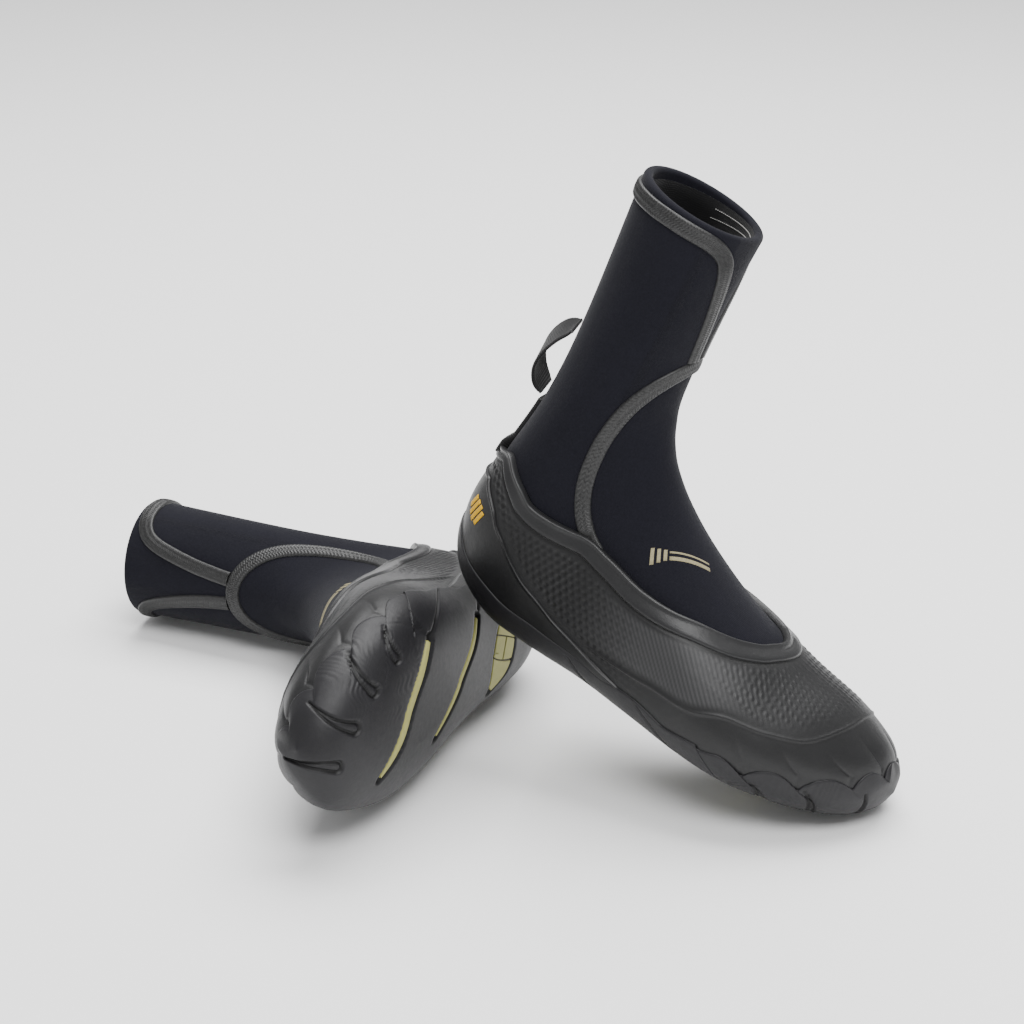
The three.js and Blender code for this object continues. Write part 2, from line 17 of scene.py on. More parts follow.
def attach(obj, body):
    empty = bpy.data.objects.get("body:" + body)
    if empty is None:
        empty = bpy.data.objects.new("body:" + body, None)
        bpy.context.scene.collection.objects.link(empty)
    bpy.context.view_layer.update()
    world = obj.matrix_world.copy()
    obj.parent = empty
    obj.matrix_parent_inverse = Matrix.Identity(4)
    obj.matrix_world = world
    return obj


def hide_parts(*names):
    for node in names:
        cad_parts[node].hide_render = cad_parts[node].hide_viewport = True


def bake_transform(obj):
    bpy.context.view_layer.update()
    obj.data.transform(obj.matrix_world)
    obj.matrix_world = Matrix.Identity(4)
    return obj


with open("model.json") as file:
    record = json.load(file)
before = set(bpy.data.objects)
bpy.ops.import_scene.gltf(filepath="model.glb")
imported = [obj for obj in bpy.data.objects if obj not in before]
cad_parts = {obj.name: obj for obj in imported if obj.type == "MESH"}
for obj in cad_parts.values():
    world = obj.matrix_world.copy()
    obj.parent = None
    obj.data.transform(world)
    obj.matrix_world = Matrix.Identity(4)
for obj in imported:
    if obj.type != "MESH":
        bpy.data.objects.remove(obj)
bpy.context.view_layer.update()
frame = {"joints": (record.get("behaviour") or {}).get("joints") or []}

# Thicknesses and widths, in millimetres.
NEOPRENE = 5
LINING_GAP = 2.4
LINING = 0.7
INSOLE = 3.5
RUBBER = 2.2
COUNTER = 2.6
OUTSOLE = 4.2
LIFT = 0.4
TAPE_LIFT = 0.2
TAPE = 1.6
TAPE_WIDTH = 9
STRAP_WIDTH = 14
STRAP = 1.6
TIP = 0.8
RIM_ROUND = 2.4
RUBBER_FACE = LIFT + RUBBER
SOLE_FACE = LIFT + OUTSOLE
INLAY_DEPTH = 1.9

# The flat tread under the ball of the foot: its reach along x, its half width and its height.
BALL_FROM = 150
BALL_TO = 235
BALL_HALF = 30
BALL_TREAD = 0.5

# How each boot lies, in degrees: yaw, pitch and roll. The ankle joint is at ANKLE in the boot's own frame.
TURNS = {"left": (244.6, -7.6, 90.2), "right": (-23.7, 21.3, -7.4)}
ANKLE = (60, 0, 100)
BEND_FROM = (61, 0, 92)
BEND_TO = (60, 0, 152)

# Cross-sections of the neoprene upper from toe tip to mouth.
# [bottom x, z, top x, z, lateral and medial half width, height share of the widest line,
#  squareness below, skew]
SECTIONS = [
    [281, 29, 281, 29, 0, 0, 0.50, 2.0, 0.45],
    [277, 19, 275, 43, 21.5, 18.5, 0.45, 2.1, 0.45],
    [268, 12, 262, 51.5, 37.5, 34.5, 0.42, 2.3, 0.45],
    [251, 7.5, 244, 58.5, 48.5, 42.5, 0.40, 2.5, 0.42],
    [222, 4.8, 213, 66, 54.5, 47.5, 0.38, 2.6, 0.30],
    [185, 4.6, 175, 80, 53.5, 46.5, 0.36, 2.6, 0.12],
    [148, 6, 143, 98, 47.5, 40.5, 0.34, 2.5, 0.03],
    [112, 8, 121, 114, 41.5, 37.5, 0.32, 2.4, 0],
    [78, 8, 107, 128, 37, 36, 0.32, 2.4, 0],
    [49, 11, 100, 139, 34.5, 34.5, 0.34, 2.3, 0],
    [25, 27, 96, 149, 32.5, 33.5, 0.40, 2.2, 0],
    [16, 55, 93, 161, 32, 33, 0.46, 2.0, 0],
    [19.5, 90, 92, 181, 32, 33, 0.50, 2.0, 0],
    [27, 132, 92, 204, 33, 33, 0.50, 2.0, 0],
    [29, 180, 93, 228, 34, 33, 0.50, 2.0, 0],
    [26, 265, 95, 258, 35, 34, 0.50, 2.0, 0],
]

# Lines drawn on the upper, as [section, degrees round it]: 0 is underneath or behind, 90 lateral, 180 on top.
# The topline and the sole's edge run from the back to the front with matching stops.
TOPLINE = [
    [12.1, 0], [12.05, 28], [11.8, 50], [10.8, 80], [9.75, 100], [8.7, 113], [7.7, 117], [6.75, 120],
    [6.0, 127], [5.4, 138], [4.9, 149], [4.62, 159], [4.52, 166], [4.45, 173], [4.42, 180],
]
SOLE_EDGE = [
    [10.85, 0], [10.75, 14], [10.45, 27], [9.9, 41], [9.2, 54], [8.3, 62], [7.4, 64], [6.5, 63],
    [5.6, 68], [4.6, 80], [3.6, 86], [2.6, 91], [1.6, 104], [1.02, 138], [0.95, 180],
]
STOPS = len(SOLE_EDGE) - 1
SOLE_CENTRE = [10.85, 10.5, 10.1, 9.6, 9.0, 8.2, 7.4, 6.5, 5.6, 4.6, 3.4, 2.2, 1.0, 0.1, -0.95]
BAND_WIDTH = [6, 6, 7, 9, 10, 10, 10, 10, 10, 10.5, 11, 11, 11, 11, 11]
RIDGE_SHARE = [0.79, 0.76, 0.74, 0.74, 0.6, 0.44, 0.28, 0.12, 0, 0, 0, 0, 0, 0, 0]
BUMPER_SHARE = [0.3, 0.3, 0.3, 0.3, 0.3, 0.3, 0.28, 0.42, 0.45, 0.36, 0.45, 0.42, 0.42, 0.48, 0.51]
COLLAR_LINE = [
    [14.89, 0], [14.89, 60], [14.86, 110], [14.73, 135], [14.5, 146], [14.0, 154], [13.3, 160], [12.7, 164],
    [12.22, 169], [12.22, 180],
]
COLLAR_TAPE = [
    [12.3, 167], [12.8, 164.5], [13.4, 160.5], [14.0, 154.5], [14.45, 147], [14.7, 137], [14.83, 120],
    [14.88, 90], [14.89, 60], [14.89, 30], [14.89, 0],
]
INSTEP_TAPE = [
    [8.1, 113], [8.5, 113.6], [8.8, 114.2], [9.6, 115], [10.6, 116], [11.3, 117.5], [11.75, 122],
    [11.98, 131], [12.08, 145],
    [12.1, 162], [12.1, 180],
]
FRONT_STRIPE = {"path": [[4.62, 34], [4.35, 14], [3.9, -8], [3.35, -28]], "width": [5, 7, 6.6, 3]}
FRONT_GROOVE = {"path": [[6.0, 72], [5.3, 55], [4.72, 37]], "width": [1.2, 2, 3]}
REAR_STRIPE = {"path": [[6.6, 34], [6.2, 14], [5.6, -4], [5.0, -21]], "width": [3.4, 4.6, 4.4, 2.4]}
REAR_GROOVE = {"path": [[7.3, 60], [7.0, 49], [6.72, 38]], "width": [1.2, 1.6, 2]}
HEEL_INLAY = {"path": [[7.75, 27], [7.55, 11], [7.35, -8], [7.15, -26]], "width": [5, 22, 24, 6]}
TOE_GROOVES = [
    [[-0.35, 0.45], [-0.38, -0.5], [-0.42, -1.6]],
    [[0.85, -0.05], [0.6, -1.0], [0.35, -2.15]],
    [[2.1, -0.42], [1.65, -1.4], [1.15, -2.5]],
    [[3.0, -1.2], [2.5, -2.0], [2.0, -2.8]],
]
# The pull loop's middle line, as [x, z] in the boot's middle plane. Its ends stop short of the neoprene.
LOOP_PATH = [[26.4, 171.5], [20, 165], [15.6, 156], [14.6, 147], [18, 139], [24.4, 133.4]]


# --- Small helpers -----------------------------------------------

def mix(a, b, t):
    return a + (b - a) * t


def unit(a):
    return a / np.linalg.norm(a, axis=-1, keepdims=True)


def smooth(low, high, value):
    """0 below low, 1 above high, with a soft change between; low may be the larger one."""
    t = np.clip((value - low) / (high - low), 0, 1)
    return t * t * (3 - 2 * t)


def along(rows, u):
    """A smooth run through rows of numbers, with u counted in rows."""
    rows = np.asarray(rows, float)
    u = np.asarray(u, float)
    ends = np.vstack([2 * rows[0] - rows[1], rows, 2 * rows[-1] - rows[-2], 3 * rows[-1] - 2 * rows[-2]])
    i = np.clip(np.floor(u).astype(int), 0, len(rows) - 2)
    t = (u - i)[..., None]
    a, b, c, d = ends[i], ends[i + 1], ends[i + 2], ends[i + 3]
    slope = (c - a) / 2
    after = (d - b) / 2
    bend = 3 * (c - b) - 2 * slope - after
    twist = 2 * (b - c) + slope + after
    return b + t * (slope + t * (bend + t * twist))


def run(rows, s):
    return along(rows, np.asarray(s) * (len(rows) - 1))


def level(values, s):
    return run([[value] for value in values], s)[..., 0]


def in_radians(rows):
    return [[k, np.radians(degrees)] for k, degrees in rows]


# --- The upper's surface -----------------------------------------

def skin(place):
    """Points on the outside of the neoprene, at places (section, angle)."""
    values = along(SECTIONS, place[..., 0])
    low_x, low_z, top_x, top_z, lateral, medial, widest, square, skew = np.moveaxis(values, -1, 0)
    cos, sin = np.cos(place[..., 1]), np.sin(place[..., 1])
    power = np.where(cos > 0, 2 / square, 1)
    reach = np.where(cos > 0, widest, 1 - widest)
    share = widest - np.sign(cos) * reach * np.abs(cos) ** power
    y = np.sign(sin) * np.where(sin > 0, lateral, medial) * np.abs(sin) ** power
    x = mix(low_x, top_x, share) - skew * (y + 14) ** 2 / 60
    return np.stack([x, y, mix(low_z, top_z, share)], -1)


def slopes(place):
    step = 0.02
    forward, round_ = np.array([step, 0]), np.array([0, step])
    return ((skin(place + forward) - skin(place - forward)) / (2 * step),
            (skin(place + round_) - skin(place - round_)) / (2 * step))


def off(place, height):
    """Points off the neoprene's outside, measured square to it and straight forward at the toe's tip."""
    place = np.asarray(place, float)
    height = np.broadcast_to(np.asarray(height, float), place.shape[:-1])[..., None]
    ahead = np.broadcast_to([1.0, 0.0, 0.0], place.shape[:-1] + (3,))
    near_tip = place[..., :1] < 0.03
    safe = np.where(near_tip, [0.5, 1.0], place)
    square = unit(np.cross(*slopes(safe)))
    direction = unit(mix(ahead, square, np.clip(place[..., :1] / TIP, 0, 1)))
    direction = np.where(near_tip, ahead, direction)
    return np.where(near_tip, skin(np.zeros_like(place)), skin(place)) + direction * height


def stepped(step, a, b):
    """The change of (section, angle) that makes a step in mm over a surface with slopes a and b."""
    aa, ab, bb = (a * a).sum(-1), (a * b).sum(-1), (b * b).sum(-1)
    along_a, along_b = (a * step).sum(-1), (b * step).sum(-1)
    area = aa * bb - ab * ab
    return np.stack([(along_a * bb - along_b * ab) / area, (along_b * aa - along_a * ab) / area], -1)


def sideways(line, s, distance):
    """Moves points of a line sideways by a distance in mm; positive is towards the sole or the toe."""
    s = np.asarray(s, float)
    distance = np.broadcast_to(np.asarray(distance, float), s.shape)
    place = line(s)
    step = 0.004
    heading = skin(line(s + step)) - skin(line(s - step))
    for _ in range(2):
        a, b = slopes(place)
        side = unit(np.cross(unit(np.cross(a, b)), heading)) * distance[..., None] / 2
        place = place + stepped(side, a, b)
    return place


def loop_line(rows):
    """A line that goes all the way round: s = 0 and 1 at the back, 0.5 in front."""
    half = in_radians(rows)
    lap = half + [[k, 2 * np.pi - phi] for k, phi in half[-2:0:-1]]
    turn = 2 * np.pi
    ends = [[lap[-1][0], lap[-1][1] - turn]] + lap + [[k, phi + turn] for k, phi in lap[:2]]

    def line(s):
        laps = np.floor(s)
        place = along(ends, 1 + (s - laps) * len(lap))
        place[..., 1] += turn * laps
        return place
    return line


def arch_line(rows, centre):
    """A line over the boot from its lateral stops to their mirror image, over the front or round the back."""
    half = in_radians(rows)
    other = [[k, 2 * np.radians(centre) - phi] for k, phi in half[-2::-1]]
    return lambda s: run(half + other, s)


def line_of(rows):
    points = in_radians(rows)
    return lambda s: run(points, s)


def toe_line(rows):
    """A line given by its steps sideways and forward from the toe's tip, which passes near that tip."""
    def line(s):
        values = run(rows, s)
        aside, ahead = values[..., 0], values[..., 1]
        return np.stack([np.hypot(aside, ahead), np.arctan2(aside, -ahead)], -1)
    return line


def fold(s):
    """How far s is from the back towards the front, from either side: 0 at the back, 1 in front."""
    return 1 - np.abs(1 - 2 * (s - np.floor(s)))


def spread(s):
    """Stops crowd together at the back and in front, where the lines bend most."""
    return s - 0.03 * np.sin(4 * np.pi * s)


topline_run, sole_run = loop_line(TOPLINE), loop_line(SOLE_EDGE)


def topline(s):
    return topline_run(spread(np.asarray(s, float)))


def sole_edge(s):
    return sole_run(spread(np.asarray(s, float)))


def stop_at(s):
    """The number of the matched stop at s: 0 at the back, STOPS in front."""
    return STOPS * fold(spread(np.asarray(s, float)))


def band_width(s):
    return level(BAND_WIDTH, stop_at(s) / STOPS)


def ridge_share(s):
    return np.maximum(0, level(RIDGE_SHARE, stop_at(s) / STOPS))


def band_foot(s):
    return sideways(topline, s, band_width(s))


def ridge(s):
    return mix(sole_edge(s), band_foot(s), ridge_share(s)[..., None])


def folded_degrees(phi):
    return np.abs((np.degrees(phi) + 540) % 360 - 180)


def section_at(rows, phi):
    """The section of a line at an angle; the angle is mirrored past the front."""
    rows = np.asarray(rows, float)
    return np.interp(folded_degrees(phi), rows[:, 1], rows[:, 0])


def under_band(phi, reach):
    """The section, at an angle, that lies reach mm under the topline band."""
    s = np.linspace(0, 0.5, 400)
    at = np.interp(folded_degrees(phi), np.degrees(topline(s)[:, 1]), s)
    return sideways(topline, at, reach)[..., 0]


# --- Closed meshes from grids of points --------------------------

class Shape:
    """A closed mesh in the boot's own frame: points, four-cornered faces and texture places in mm."""

    def __init__(self, points, faces, corners):
        self.points, self.faces, self.corners = points, faces, corners
        self.marks = {}

    def mark(self, name, values):
        """A number at every outer point, which a material can read, and 0 at every inner one."""
        self.marks[name] = np.concatenate([values.ravel(), np.zeros(values.size)])
        return self


def grid_faces(index):
    return np.stack([index[:-1, :-1], index[1:, :-1], index[1:, 1:], index[:-1, 1:]], -1).reshape(-1, 4)


def travelled(points, axis=0):
    """How far every point of a grid lies along one of its axes, in mm from the first."""
    steps = np.cumsum(np.linalg.norm(np.diff(points, axis=axis), axis=-1), axis=axis)
    return np.concatenate([np.zeros_like(np.take(steps, [0], axis)), steps], axis)


def measured(points):
    """Texture places in mm for a grid of points: how far along the columns and the rows."""
    down = travelled(points)
    return np.stack([np.broadcast_to(travelled(points, 1)[len(points) // 2], down.shape), down], -1)


def grid(s, t):
    return np.broadcast_arrays(s[:, None], t[None])


def shell(outer, inner, ring=False, tip=False):
    """A closed shape between two grids of the same size. In a ring the last column meets the first;
    tip leaves out the wall at the first row, where the grids close on a point."""
    rows, columns = outer.shape[:2]
    kept = columns - 1 if ring else columns
    points = np.concatenate([outer[:, :kept].reshape(-1, 3), inner[:, :kept].reshape(-1, 3)])
    number = np.arange(rows * kept).reshape(rows, kept)
    if ring:
        number = np.hstack([number, number[:, :1]])
    under = number + rows * kept
    places = np.arange(rows * columns).reshape(rows, columns)
    strips = [(number, places), (under[:, ::-1], places[:, ::-1])]
    walls = [(np.stack([under[-1], number[-1]])[::-1], np.stack([places[-1], places[-1]]))]
    if not tip:
        walls.append((np.stack([under[0], number[0]]), np.stack([places[0], places[0]])))
    if not ring:
        walls.append((np.stack([number[:, 0], under[:, 0]]), np.stack([places[:, 0], places[:, 0]])))
        walls.append((np.stack([under[:, -1], number[:, -1]]), np.stack([places[:, -1], places[:, -1]])))
    faces = np.concatenate([grid_faces(part) for part, _ in strips + walls])
    corners = np.concatenate([grid_faces(part) for _, part in strips + walls])
    return Shape(points, faces, measured(outer).reshape(-1, 2)[corners])


def bar(points, length, closed=False):
    """A closed bar from a row of outline points for every stop, and how far along each stop lies."""
    rows, count = points.shape[:2]
    lap = np.concatenate([points, points[:, :1]], axis=1)
    texture = np.stack([np.broadcast_to(length[:, None], lap.shape[:2]), travelled(lap, 1)[rows // 2]
                        + np.zeros(lap.shape[:2])], -1)
    number = np.arange(rows * count).reshape(rows, count)
    if closed:
        number = np.vstack([number[:-1], number[:1]])
    number = np.hstack([number, number[:, :1]])
    places = np.arange(lap.shape[0] * lap.shape[1]).reshape(lap.shape[:2])
    faces, corners = grid_faces(number), grid_faces(places)
    if not closed:
        half = count // 2
        for row, flip in ((0, 1), (-1, -1)):
            cap = np.stack([number[row, :half], number[row, count - 1:half - 1:-1]])[::flip]
            faces = np.concatenate([faces, grid_faces(cap)])
            corners = np.concatenate([corners, np.full((half - 1, 4), places[row, 0])])
    used = points[:-1] if closed else points
    return Shape(used.reshape(-1, 3), faces, texture.reshape(-1, 2)[corners])


def swept(line, stops, profile, closed=False):
    """A closed bar along a line. profile(s) gives, for every stop, points as (sideways mm, height mm),
    in order round the bar."""
    stops = np.asarray(stops, float)
    places = profile(stops)
    at = np.broadcast_to(stops[:, None], places.shape[:2])
    points = off(sideways(line, at, places[..., 0]), places[..., 1])
    return bar(points, travelled(points[:, points.shape[1] // 4]), closed)


def outline(across, top, bottom):
    """Cross-sections of a strip: across at the height top, and back at the height bottom."""
    across = np.broadcast_to(across, top.shape)
    lower = np.stack([across[:, ::-1], np.full(top.shape, bottom)], -1)
    return np.concatenate([np.stack([across, top], -1), lower], 1)


def eased(count, edge=0.02):
    """Stops from 0 to 1 with a few close together at both ends, where edges are rounded."""
    near = np.array([0, 0.15, 0.5]) * edge
    return np.concatenate([near, np.linspace(edge, 1 - edge, count), 1 - near[::-1]])


def rounded(stops, radius_share):
    """How much an edge is rounded off along stops: 0 in the middle, 1 at both ends."""
    near = np.minimum(stops, 1 - stops) / radius_share
    return 1 - np.sqrt(np.clip(1 - (1 - np.clip(near, 0, 1)) ** 2, 0, 1))


# --- Lines of the sole and the rubber that only show -------------

LOBES_FROM = 9.2
LOBE_PITCH = 1.05
LOBE_DEPTH = 8.5
LENS = (6.8, 8.3)


def lobe(stop):
    """0 between the toe lobes of the sole's edge, 1 at the top of each, and 1 behind them all."""
    wave = np.abs(np.sin(np.pi * (stop - LOBES_FROM) / LOBE_PITCH)) ** 0.75
    return np.where(stop < LOBES_FROM, 1, wave)


def scallop(s):
    """How far the sole's visible edge lies towards the sole from the plain edge."""
    stop = stop_at(s)
    depth = LOBE_DEPTH * smooth(8.9, 10, stop) * mix(1, 0.62, smooth(11, 14, stop))
    depth = depth * mix(1, 0.3, s % 1 > 0.5)
    lens = np.clip((stop - LENS[0]) / (LENS[1] - LENS[0]), 0, 1)
    return depth * (1 - lobe(stop)) - 3.5 * np.sin(np.pi * lens)


def sole_place(s, t, margin):
    """The sole's patch: cross rows between the two sides of its edge, from the toe (s = 0) to the heel."""
    edge = (1 - s) / 2
    side = 2 * t - 1
    place = sideways(sole_edge, edge, margin)
    inside = (s > 0) & (s < 1)
    end_a = np.where(inside, place[..., 0] * np.sin(place[..., 1]), 0)
    end_b = -place[..., 0] * np.cos(place[..., 1])
    centre = -level(SOLE_CENTRE, 2 * spread(edge))
    a = end_a * side
    b = np.where(inside, mix(centre, end_b, side * side), end_b)
    return np.stack([np.hypot(a, b), np.arctan2(a, -b)], -1)


def distance_to(points, path):
    """For every point, its distance to a path of points and how far along the path, 0 to 1, it is nearest."""
    flat = points.reshape(-1, 3)
    best = np.full(len(flat), 1e9)
    share = np.zeros(len(flat))
    for n in range(len(path) - 1):
        a, b = path[n], path[n + 1]
        t = np.clip((flat - a) @ (b - a) / ((b - a) @ (b - a)), 0, 1)
        gap = np.linalg.norm(flat - a - t[:, None] * (b - a), axis=1)
        nearer = gap < best
        best = np.where(nearer, gap, best)
        share = np.where(nearer, (n + t) / (len(path) - 1), share)
    return best.reshape(points.shape[:-1]), share.reshape(points.shape[:-1])


def trench(points, line, width, wall=0.9, count=24):
    """1 inside a groove of a varying width that follows a line, 0 outside, soft over its wall."""
    s = np.linspace(0, 1, count)
    gap, share = distance_to(points, off(line(s), SOLE_FACE))
    half = np.interp(share, s, width(s)) / 2
    return 1 - smooth(-wall / 2, wall / 2, gap - half)


# --- Pieces ------------------------------------------------------

def outsole():
    """The outsole, with trenches for the lime inlays, grooves, creases and a fine tread under the toes; the
    trenches, grooves and creases carry painted shade.
    """
    s, t = grid(eased(400, 0.006), eased(190, 0.012))
    edge = (1 - s) / 2
    lateral = t > 0.5
    margin = np.where(lateral, scallop(edge), scallop(1 - edge))
    place = sole_place(s, t, margin)
    plain = off(place, SOLE_FACE)
    dip = np.zeros(s.shape)
    # dark is painted shade: the colour darkens in the trenches round the inlays, in the grooves and in the
    # creases
    dark = np.zeros(s.shape)
    for stripe in (FRONT_STRIPE, REAR_STRIPE, HEEL_INLAY):
        inside = trench(plain, line_of(stripe["path"]), lambda u, w=stripe["width"]: level(w, u) + 1.8)
        dip = np.maximum(dip, INLAY_DEPTH * inside)
        dark = np.maximum(dark, inside)
    for groove in (FRONT_GROOVE, REAR_GROOVE):
        width = lambda u, w=groove["width"]: level(w, u) * 0.7
        inside = trench(plain, line_of(groove["path"]), width, 0.8)
        dip = np.maximum(dip, 1.2 * inside)
        dark = np.maximum(dark, inside * 0.9)
    for path in TOE_GROOVES:
        inside = trench(plain, toe_line(path), lambda u: 1.2 + 6.4 * u ** 1.2, 0.8, 30)
        pad = trench(plain, toe_line(path), lambda u: np.maximum(0.1, 5.0 * u ** 1.2 - 1.2), 0.8, 30)
        dip = np.maximum(dip, 1.6 * inside - 1.1 * pad)
        dark = np.maximum(dark, inside * (1 - 0.85 * pad))
    for n in range(4):
        crease = line_of([[4.5, 37], [4.2 - 0.13 * n, 50 + n], [4.05 - 0.34 * n, 64 + 2 * n]])
        inside = trench(plain, crease, lambda u: 0.9 - 0.6 * u, 0.9)
        dip = np.maximum(dip, 0.45 * inside)
        dark = np.maximum(dark, 0.35 * inside)
    rim = np.minimum.reduce([t, 1 - t, s * 2.2, (1 - s) * 2.2])
    swell = smooth(0, 0.16, rim)
    border = mix(LIFT + COUNTER + 1.0, RUBBER_FACE + 0.5, smooth(5.6, 7.4, stop_at(edge)))
    height = mix(border, SOLE_FACE, swell)
    edge_round = np.maximum(rounded(t, 0.012), rounded(s, 0.006))
    height = height - dip * smooth(0.0, 0.03, rim) - 0.5 * edge_round
    x, y = plain[..., 0], plain[..., 1]
    tread = 0.16 * np.sin(2 * np.pi * (x * 0.8 + 1.3 * np.sin(y / 2.3) + y * 0.25) / 1.9)
    toes = smooth(196, 212, x) * (1 - smooth(252, 268, x)) * smooth(-6, 4, y)
    height = height + tread * toes * (1 - dark)
    shape = shell(on_flat_tread(off(place, height)), off(place, LIFT + 0.1))
    return shape.mark("dark", dark)


def on_flat_tread(points, rise=0.0):
    """Points under the ball of the foot lifted to its flat tread."""
    x, y, z = np.moveaxis(points, -1, 0)
    under_ball = (x > BALL_FROM) & (x < BALL_TO) & (np.abs(y) < BALL_HALF)
    return np.stack([x, y, np.where(under_ball, np.maximum(z, BALL_TREAD + rise), z)], -1)


def inlay(stripe, trim):
    """A lime stripe in its trench, narrower than the trench by trim, with a slight crown."""
    line = line_of(stripe["path"])
    low, crown = SOLE_FACE - 1.7, SOLE_FACE - 0.25

    def profile(stops):
        across = np.linspace(-1, 1, 9)[None]
        half = (level(stripe["width"], mix(0.03, 0.97, stops)) - trim)[:, None] / 2
        shape = np.clip(1 - np.abs(across) ** 6, 0, 1) ** 0.5
        swell = (0.92 + 0.08 * np.cos(across * np.pi / 2)) * shape
        return outline(across * half, low + (crown - low) * swell + np.zeros_like(half), low - 0.2)
    made = swept(lambda u: line(mix(0.03, 0.97, np.asarray(u, float))), np.linspace(0, 1, 140), profile)
    made.points = on_flat_tread(made.points, 0.2)
    return made


def heel_patch():
    """A lens-shaped inlay cut into plain bars by grooves, with painted shade in the grooves."""
    line = line_of(HEEL_INLAY["path"])
    s, t = grid(eased(150, 0.01), eased(80, 0.02))
    along_line = mix(0.03, 0.97, s)
    half = (level(HEEL_INLAY["width"], along_line) - 1.0) / 2
    place = sideways(lambda u: line(np.asarray(u, float)), along_line, (2 * t - 1) * half)
    length = 66.0
    grooves = np.zeros(s.shape)
    for at in (0.36, 0.6):
        grooves = np.maximum(grooves, 1 - smooth(0.25, 0.8, np.abs((s - at) * length + (t - 0.5) * 4)))
    across = 1 - smooth(0.25, 0.8, np.abs((t - 0.5) * 2 * half))
    grooves = np.maximum(grooves, across * (s > 0.36) * (s < 0.6))
    edge_round = np.maximum(rounded(t, 0.03), rounded(s, 0.015))
    height = SOLE_FACE - 0.25 - 0.8 * grooves - 0.5 * edge_round
    shape = shell(off(place, height), off(place, SOLE_FACE - INLAY_DEPTH))
    return shape.mark("dark", grooves)


def round_the_heel(points):
    """A coordinate in mm along the side of the foot that carries on round the heel."""
    ahead = points[..., 0] - 60
    behind = -38 * np.arctan2(np.maximum(0, -ahead), np.abs(points[..., 1]) + 1e-6)
    return np.where(ahead > 0, ahead, behind)


def hex_dimples(u, v, pitch):
    """0 on the ridges of a honeycomb, rising to 1 in the middle of every cell."""
    rows = pitch * np.sqrt(3) / 2
    best = np.full(u.shape, 1e9)
    for shift in (0, 1):
        row = np.round((v / rows - shift) / 2) * 2 + shift
        column = np.round(u / pitch - 0.5 * shift) + 0.5 * shift
        best = np.minimum(best, np.hypot(u - column * pitch, v - row * rows))
    return 1 - smooth(0.16 * pitch, 0.46 * pitch, best)


def rubber_shell():
    """The rubber foot shell with its moulded relief, from under the topline band to under the sole, with
    painted shade in its hollows and a painted highlight on its midfoot ribs.
    """
    columns = np.linspace(0, 1, 761)
    rows = np.linspace(0, 1, 96)
    foot, edge = band_foot(columns), sole_edge(columns)
    top = sideways(topline, columns, band_width(columns) - 2.5)
    tuck = sideways(sole_edge, columns, 12.0)
    share = rows[:, None, None]
    wall = mix(foot, edge, np.clip((share - 0.03) / 0.82, 0, 1))
    place = np.where(share < 0.03, mix(top, foot, share / 0.03), wall)
    place = np.where(share > 0.85, mix(edge, tuck, (share - 0.85) / 0.15), place)
    points = off(place, RUBBER_FACE)
    length = travelled(points)

    def down_to(value):
        """mm down each column to a share of the way up from the sole's edge to the band."""
        at = 0.03 + 0.82 * (1 - np.clip(value, 0, 1))
        return np.array([np.interp(a, rows, length[:, n]) for n, a in enumerate(at)])

    stop = np.broadcast_to(stop_at(columns), length.shape)
    band = length - down_to(np.ones(columns.shape))
    above_ridge = down_to(ridge_share(columns)) - length
    above_bumper = down_to(level(BUMPER_SHARE, stop_at(columns) / STOPS)) - length
    above_edge = down_to(np.zeros(columns.shape)) - length
    u, v = round_the_heel(points), points[..., 2]

    clear_of_band = smooth(2.0, 5.0, band)
    rear = clear_of_band * smooth(2.5, 7.0, above_ridge) * (1 - smooth(6.2, 8.2, stop))
    dimples = hex_dimples(u, v, 4.2)
    height = -0.5 * dimples * rear

    middle = clear_of_band * smooth(5.8, 7.6, stop) * (1 - smooth(10.2, 12.2, stop))
    middle = middle * smooth(2.0, 6.0, above_bumper)
    ribs = 0.5 + 0.5 * np.sin(2 * np.pi * (u * 0.86 + v * 0.9) / 2.6)
    height = height + 0.22 * ribs * middle

    vamp = clear_of_band * smooth(8.6, 10.8, stop) * smooth(3.0, 12.0, above_bumper)
    vamp = vamp * (1 - smooth(30, 62, band))
    wave_u = np.cos(2 * np.pi * points[..., 0] / 3.5)
    wave_v = np.cos(2 * np.pi * points[..., 1] / 3.9)
    dots = smooth(-0.1, 0.6, wave_u) * smooth(-0.1, 0.6, wave_v)
    height = height + 0.27 * dots * vamp

    step = smooth(6.0, 7.0, stop)
    lip = np.exp(-(above_bumper / 0.9) ** 2)
    height = height + step * (0.45 * lip - 0.5 * smooth(0.4, -0.8, above_bumper))

    toes = smooth(9.4, 10.6, stop) * np.exp(-((above_edge - 8) / 11) ** 2)
    height = height + toes * (1.1 * lobe(stop) - 0.5)
    seam = smooth(LOBES_FROM, LOBES_FROM + 0.4, stop) * np.exp(-((above_edge + 1) / 9) ** 2)
    height = height - 0.5 * seam * (1 - smooth(0.0, 0.35, lobe(stop)))
    height = height - 0.35 * np.exp(-((band - 0.6) / 0.7) ** 2)

    outer = off(place, RUBBER_FACE + height)
    inner = off(place, LIFT)
    # painted shade: the colour darkens in a line under the band's undercut and in the hollows of the rear
    # honeycomb
    dark = np.maximum(np.exp(-((band - 0.5) / 0.8) ** 2), 0.55 * dimples * rear)
    # painted highlight: the midfoot side is lighter in colour, most on its rib crests, standing in for the
    # light they catch
    wear_and_highlight = 0.7 * (0.35 + 0.65 * ribs) * middle * (1 - smooth(9.4, 11.0, stop))
    shape = shell(outer, inner, ring=True)
    for name, values in (("dark", dark), ("wear_and_highlight", wear_and_highlight)):
        shape.mark(name, values[:, :-1])
    return shape


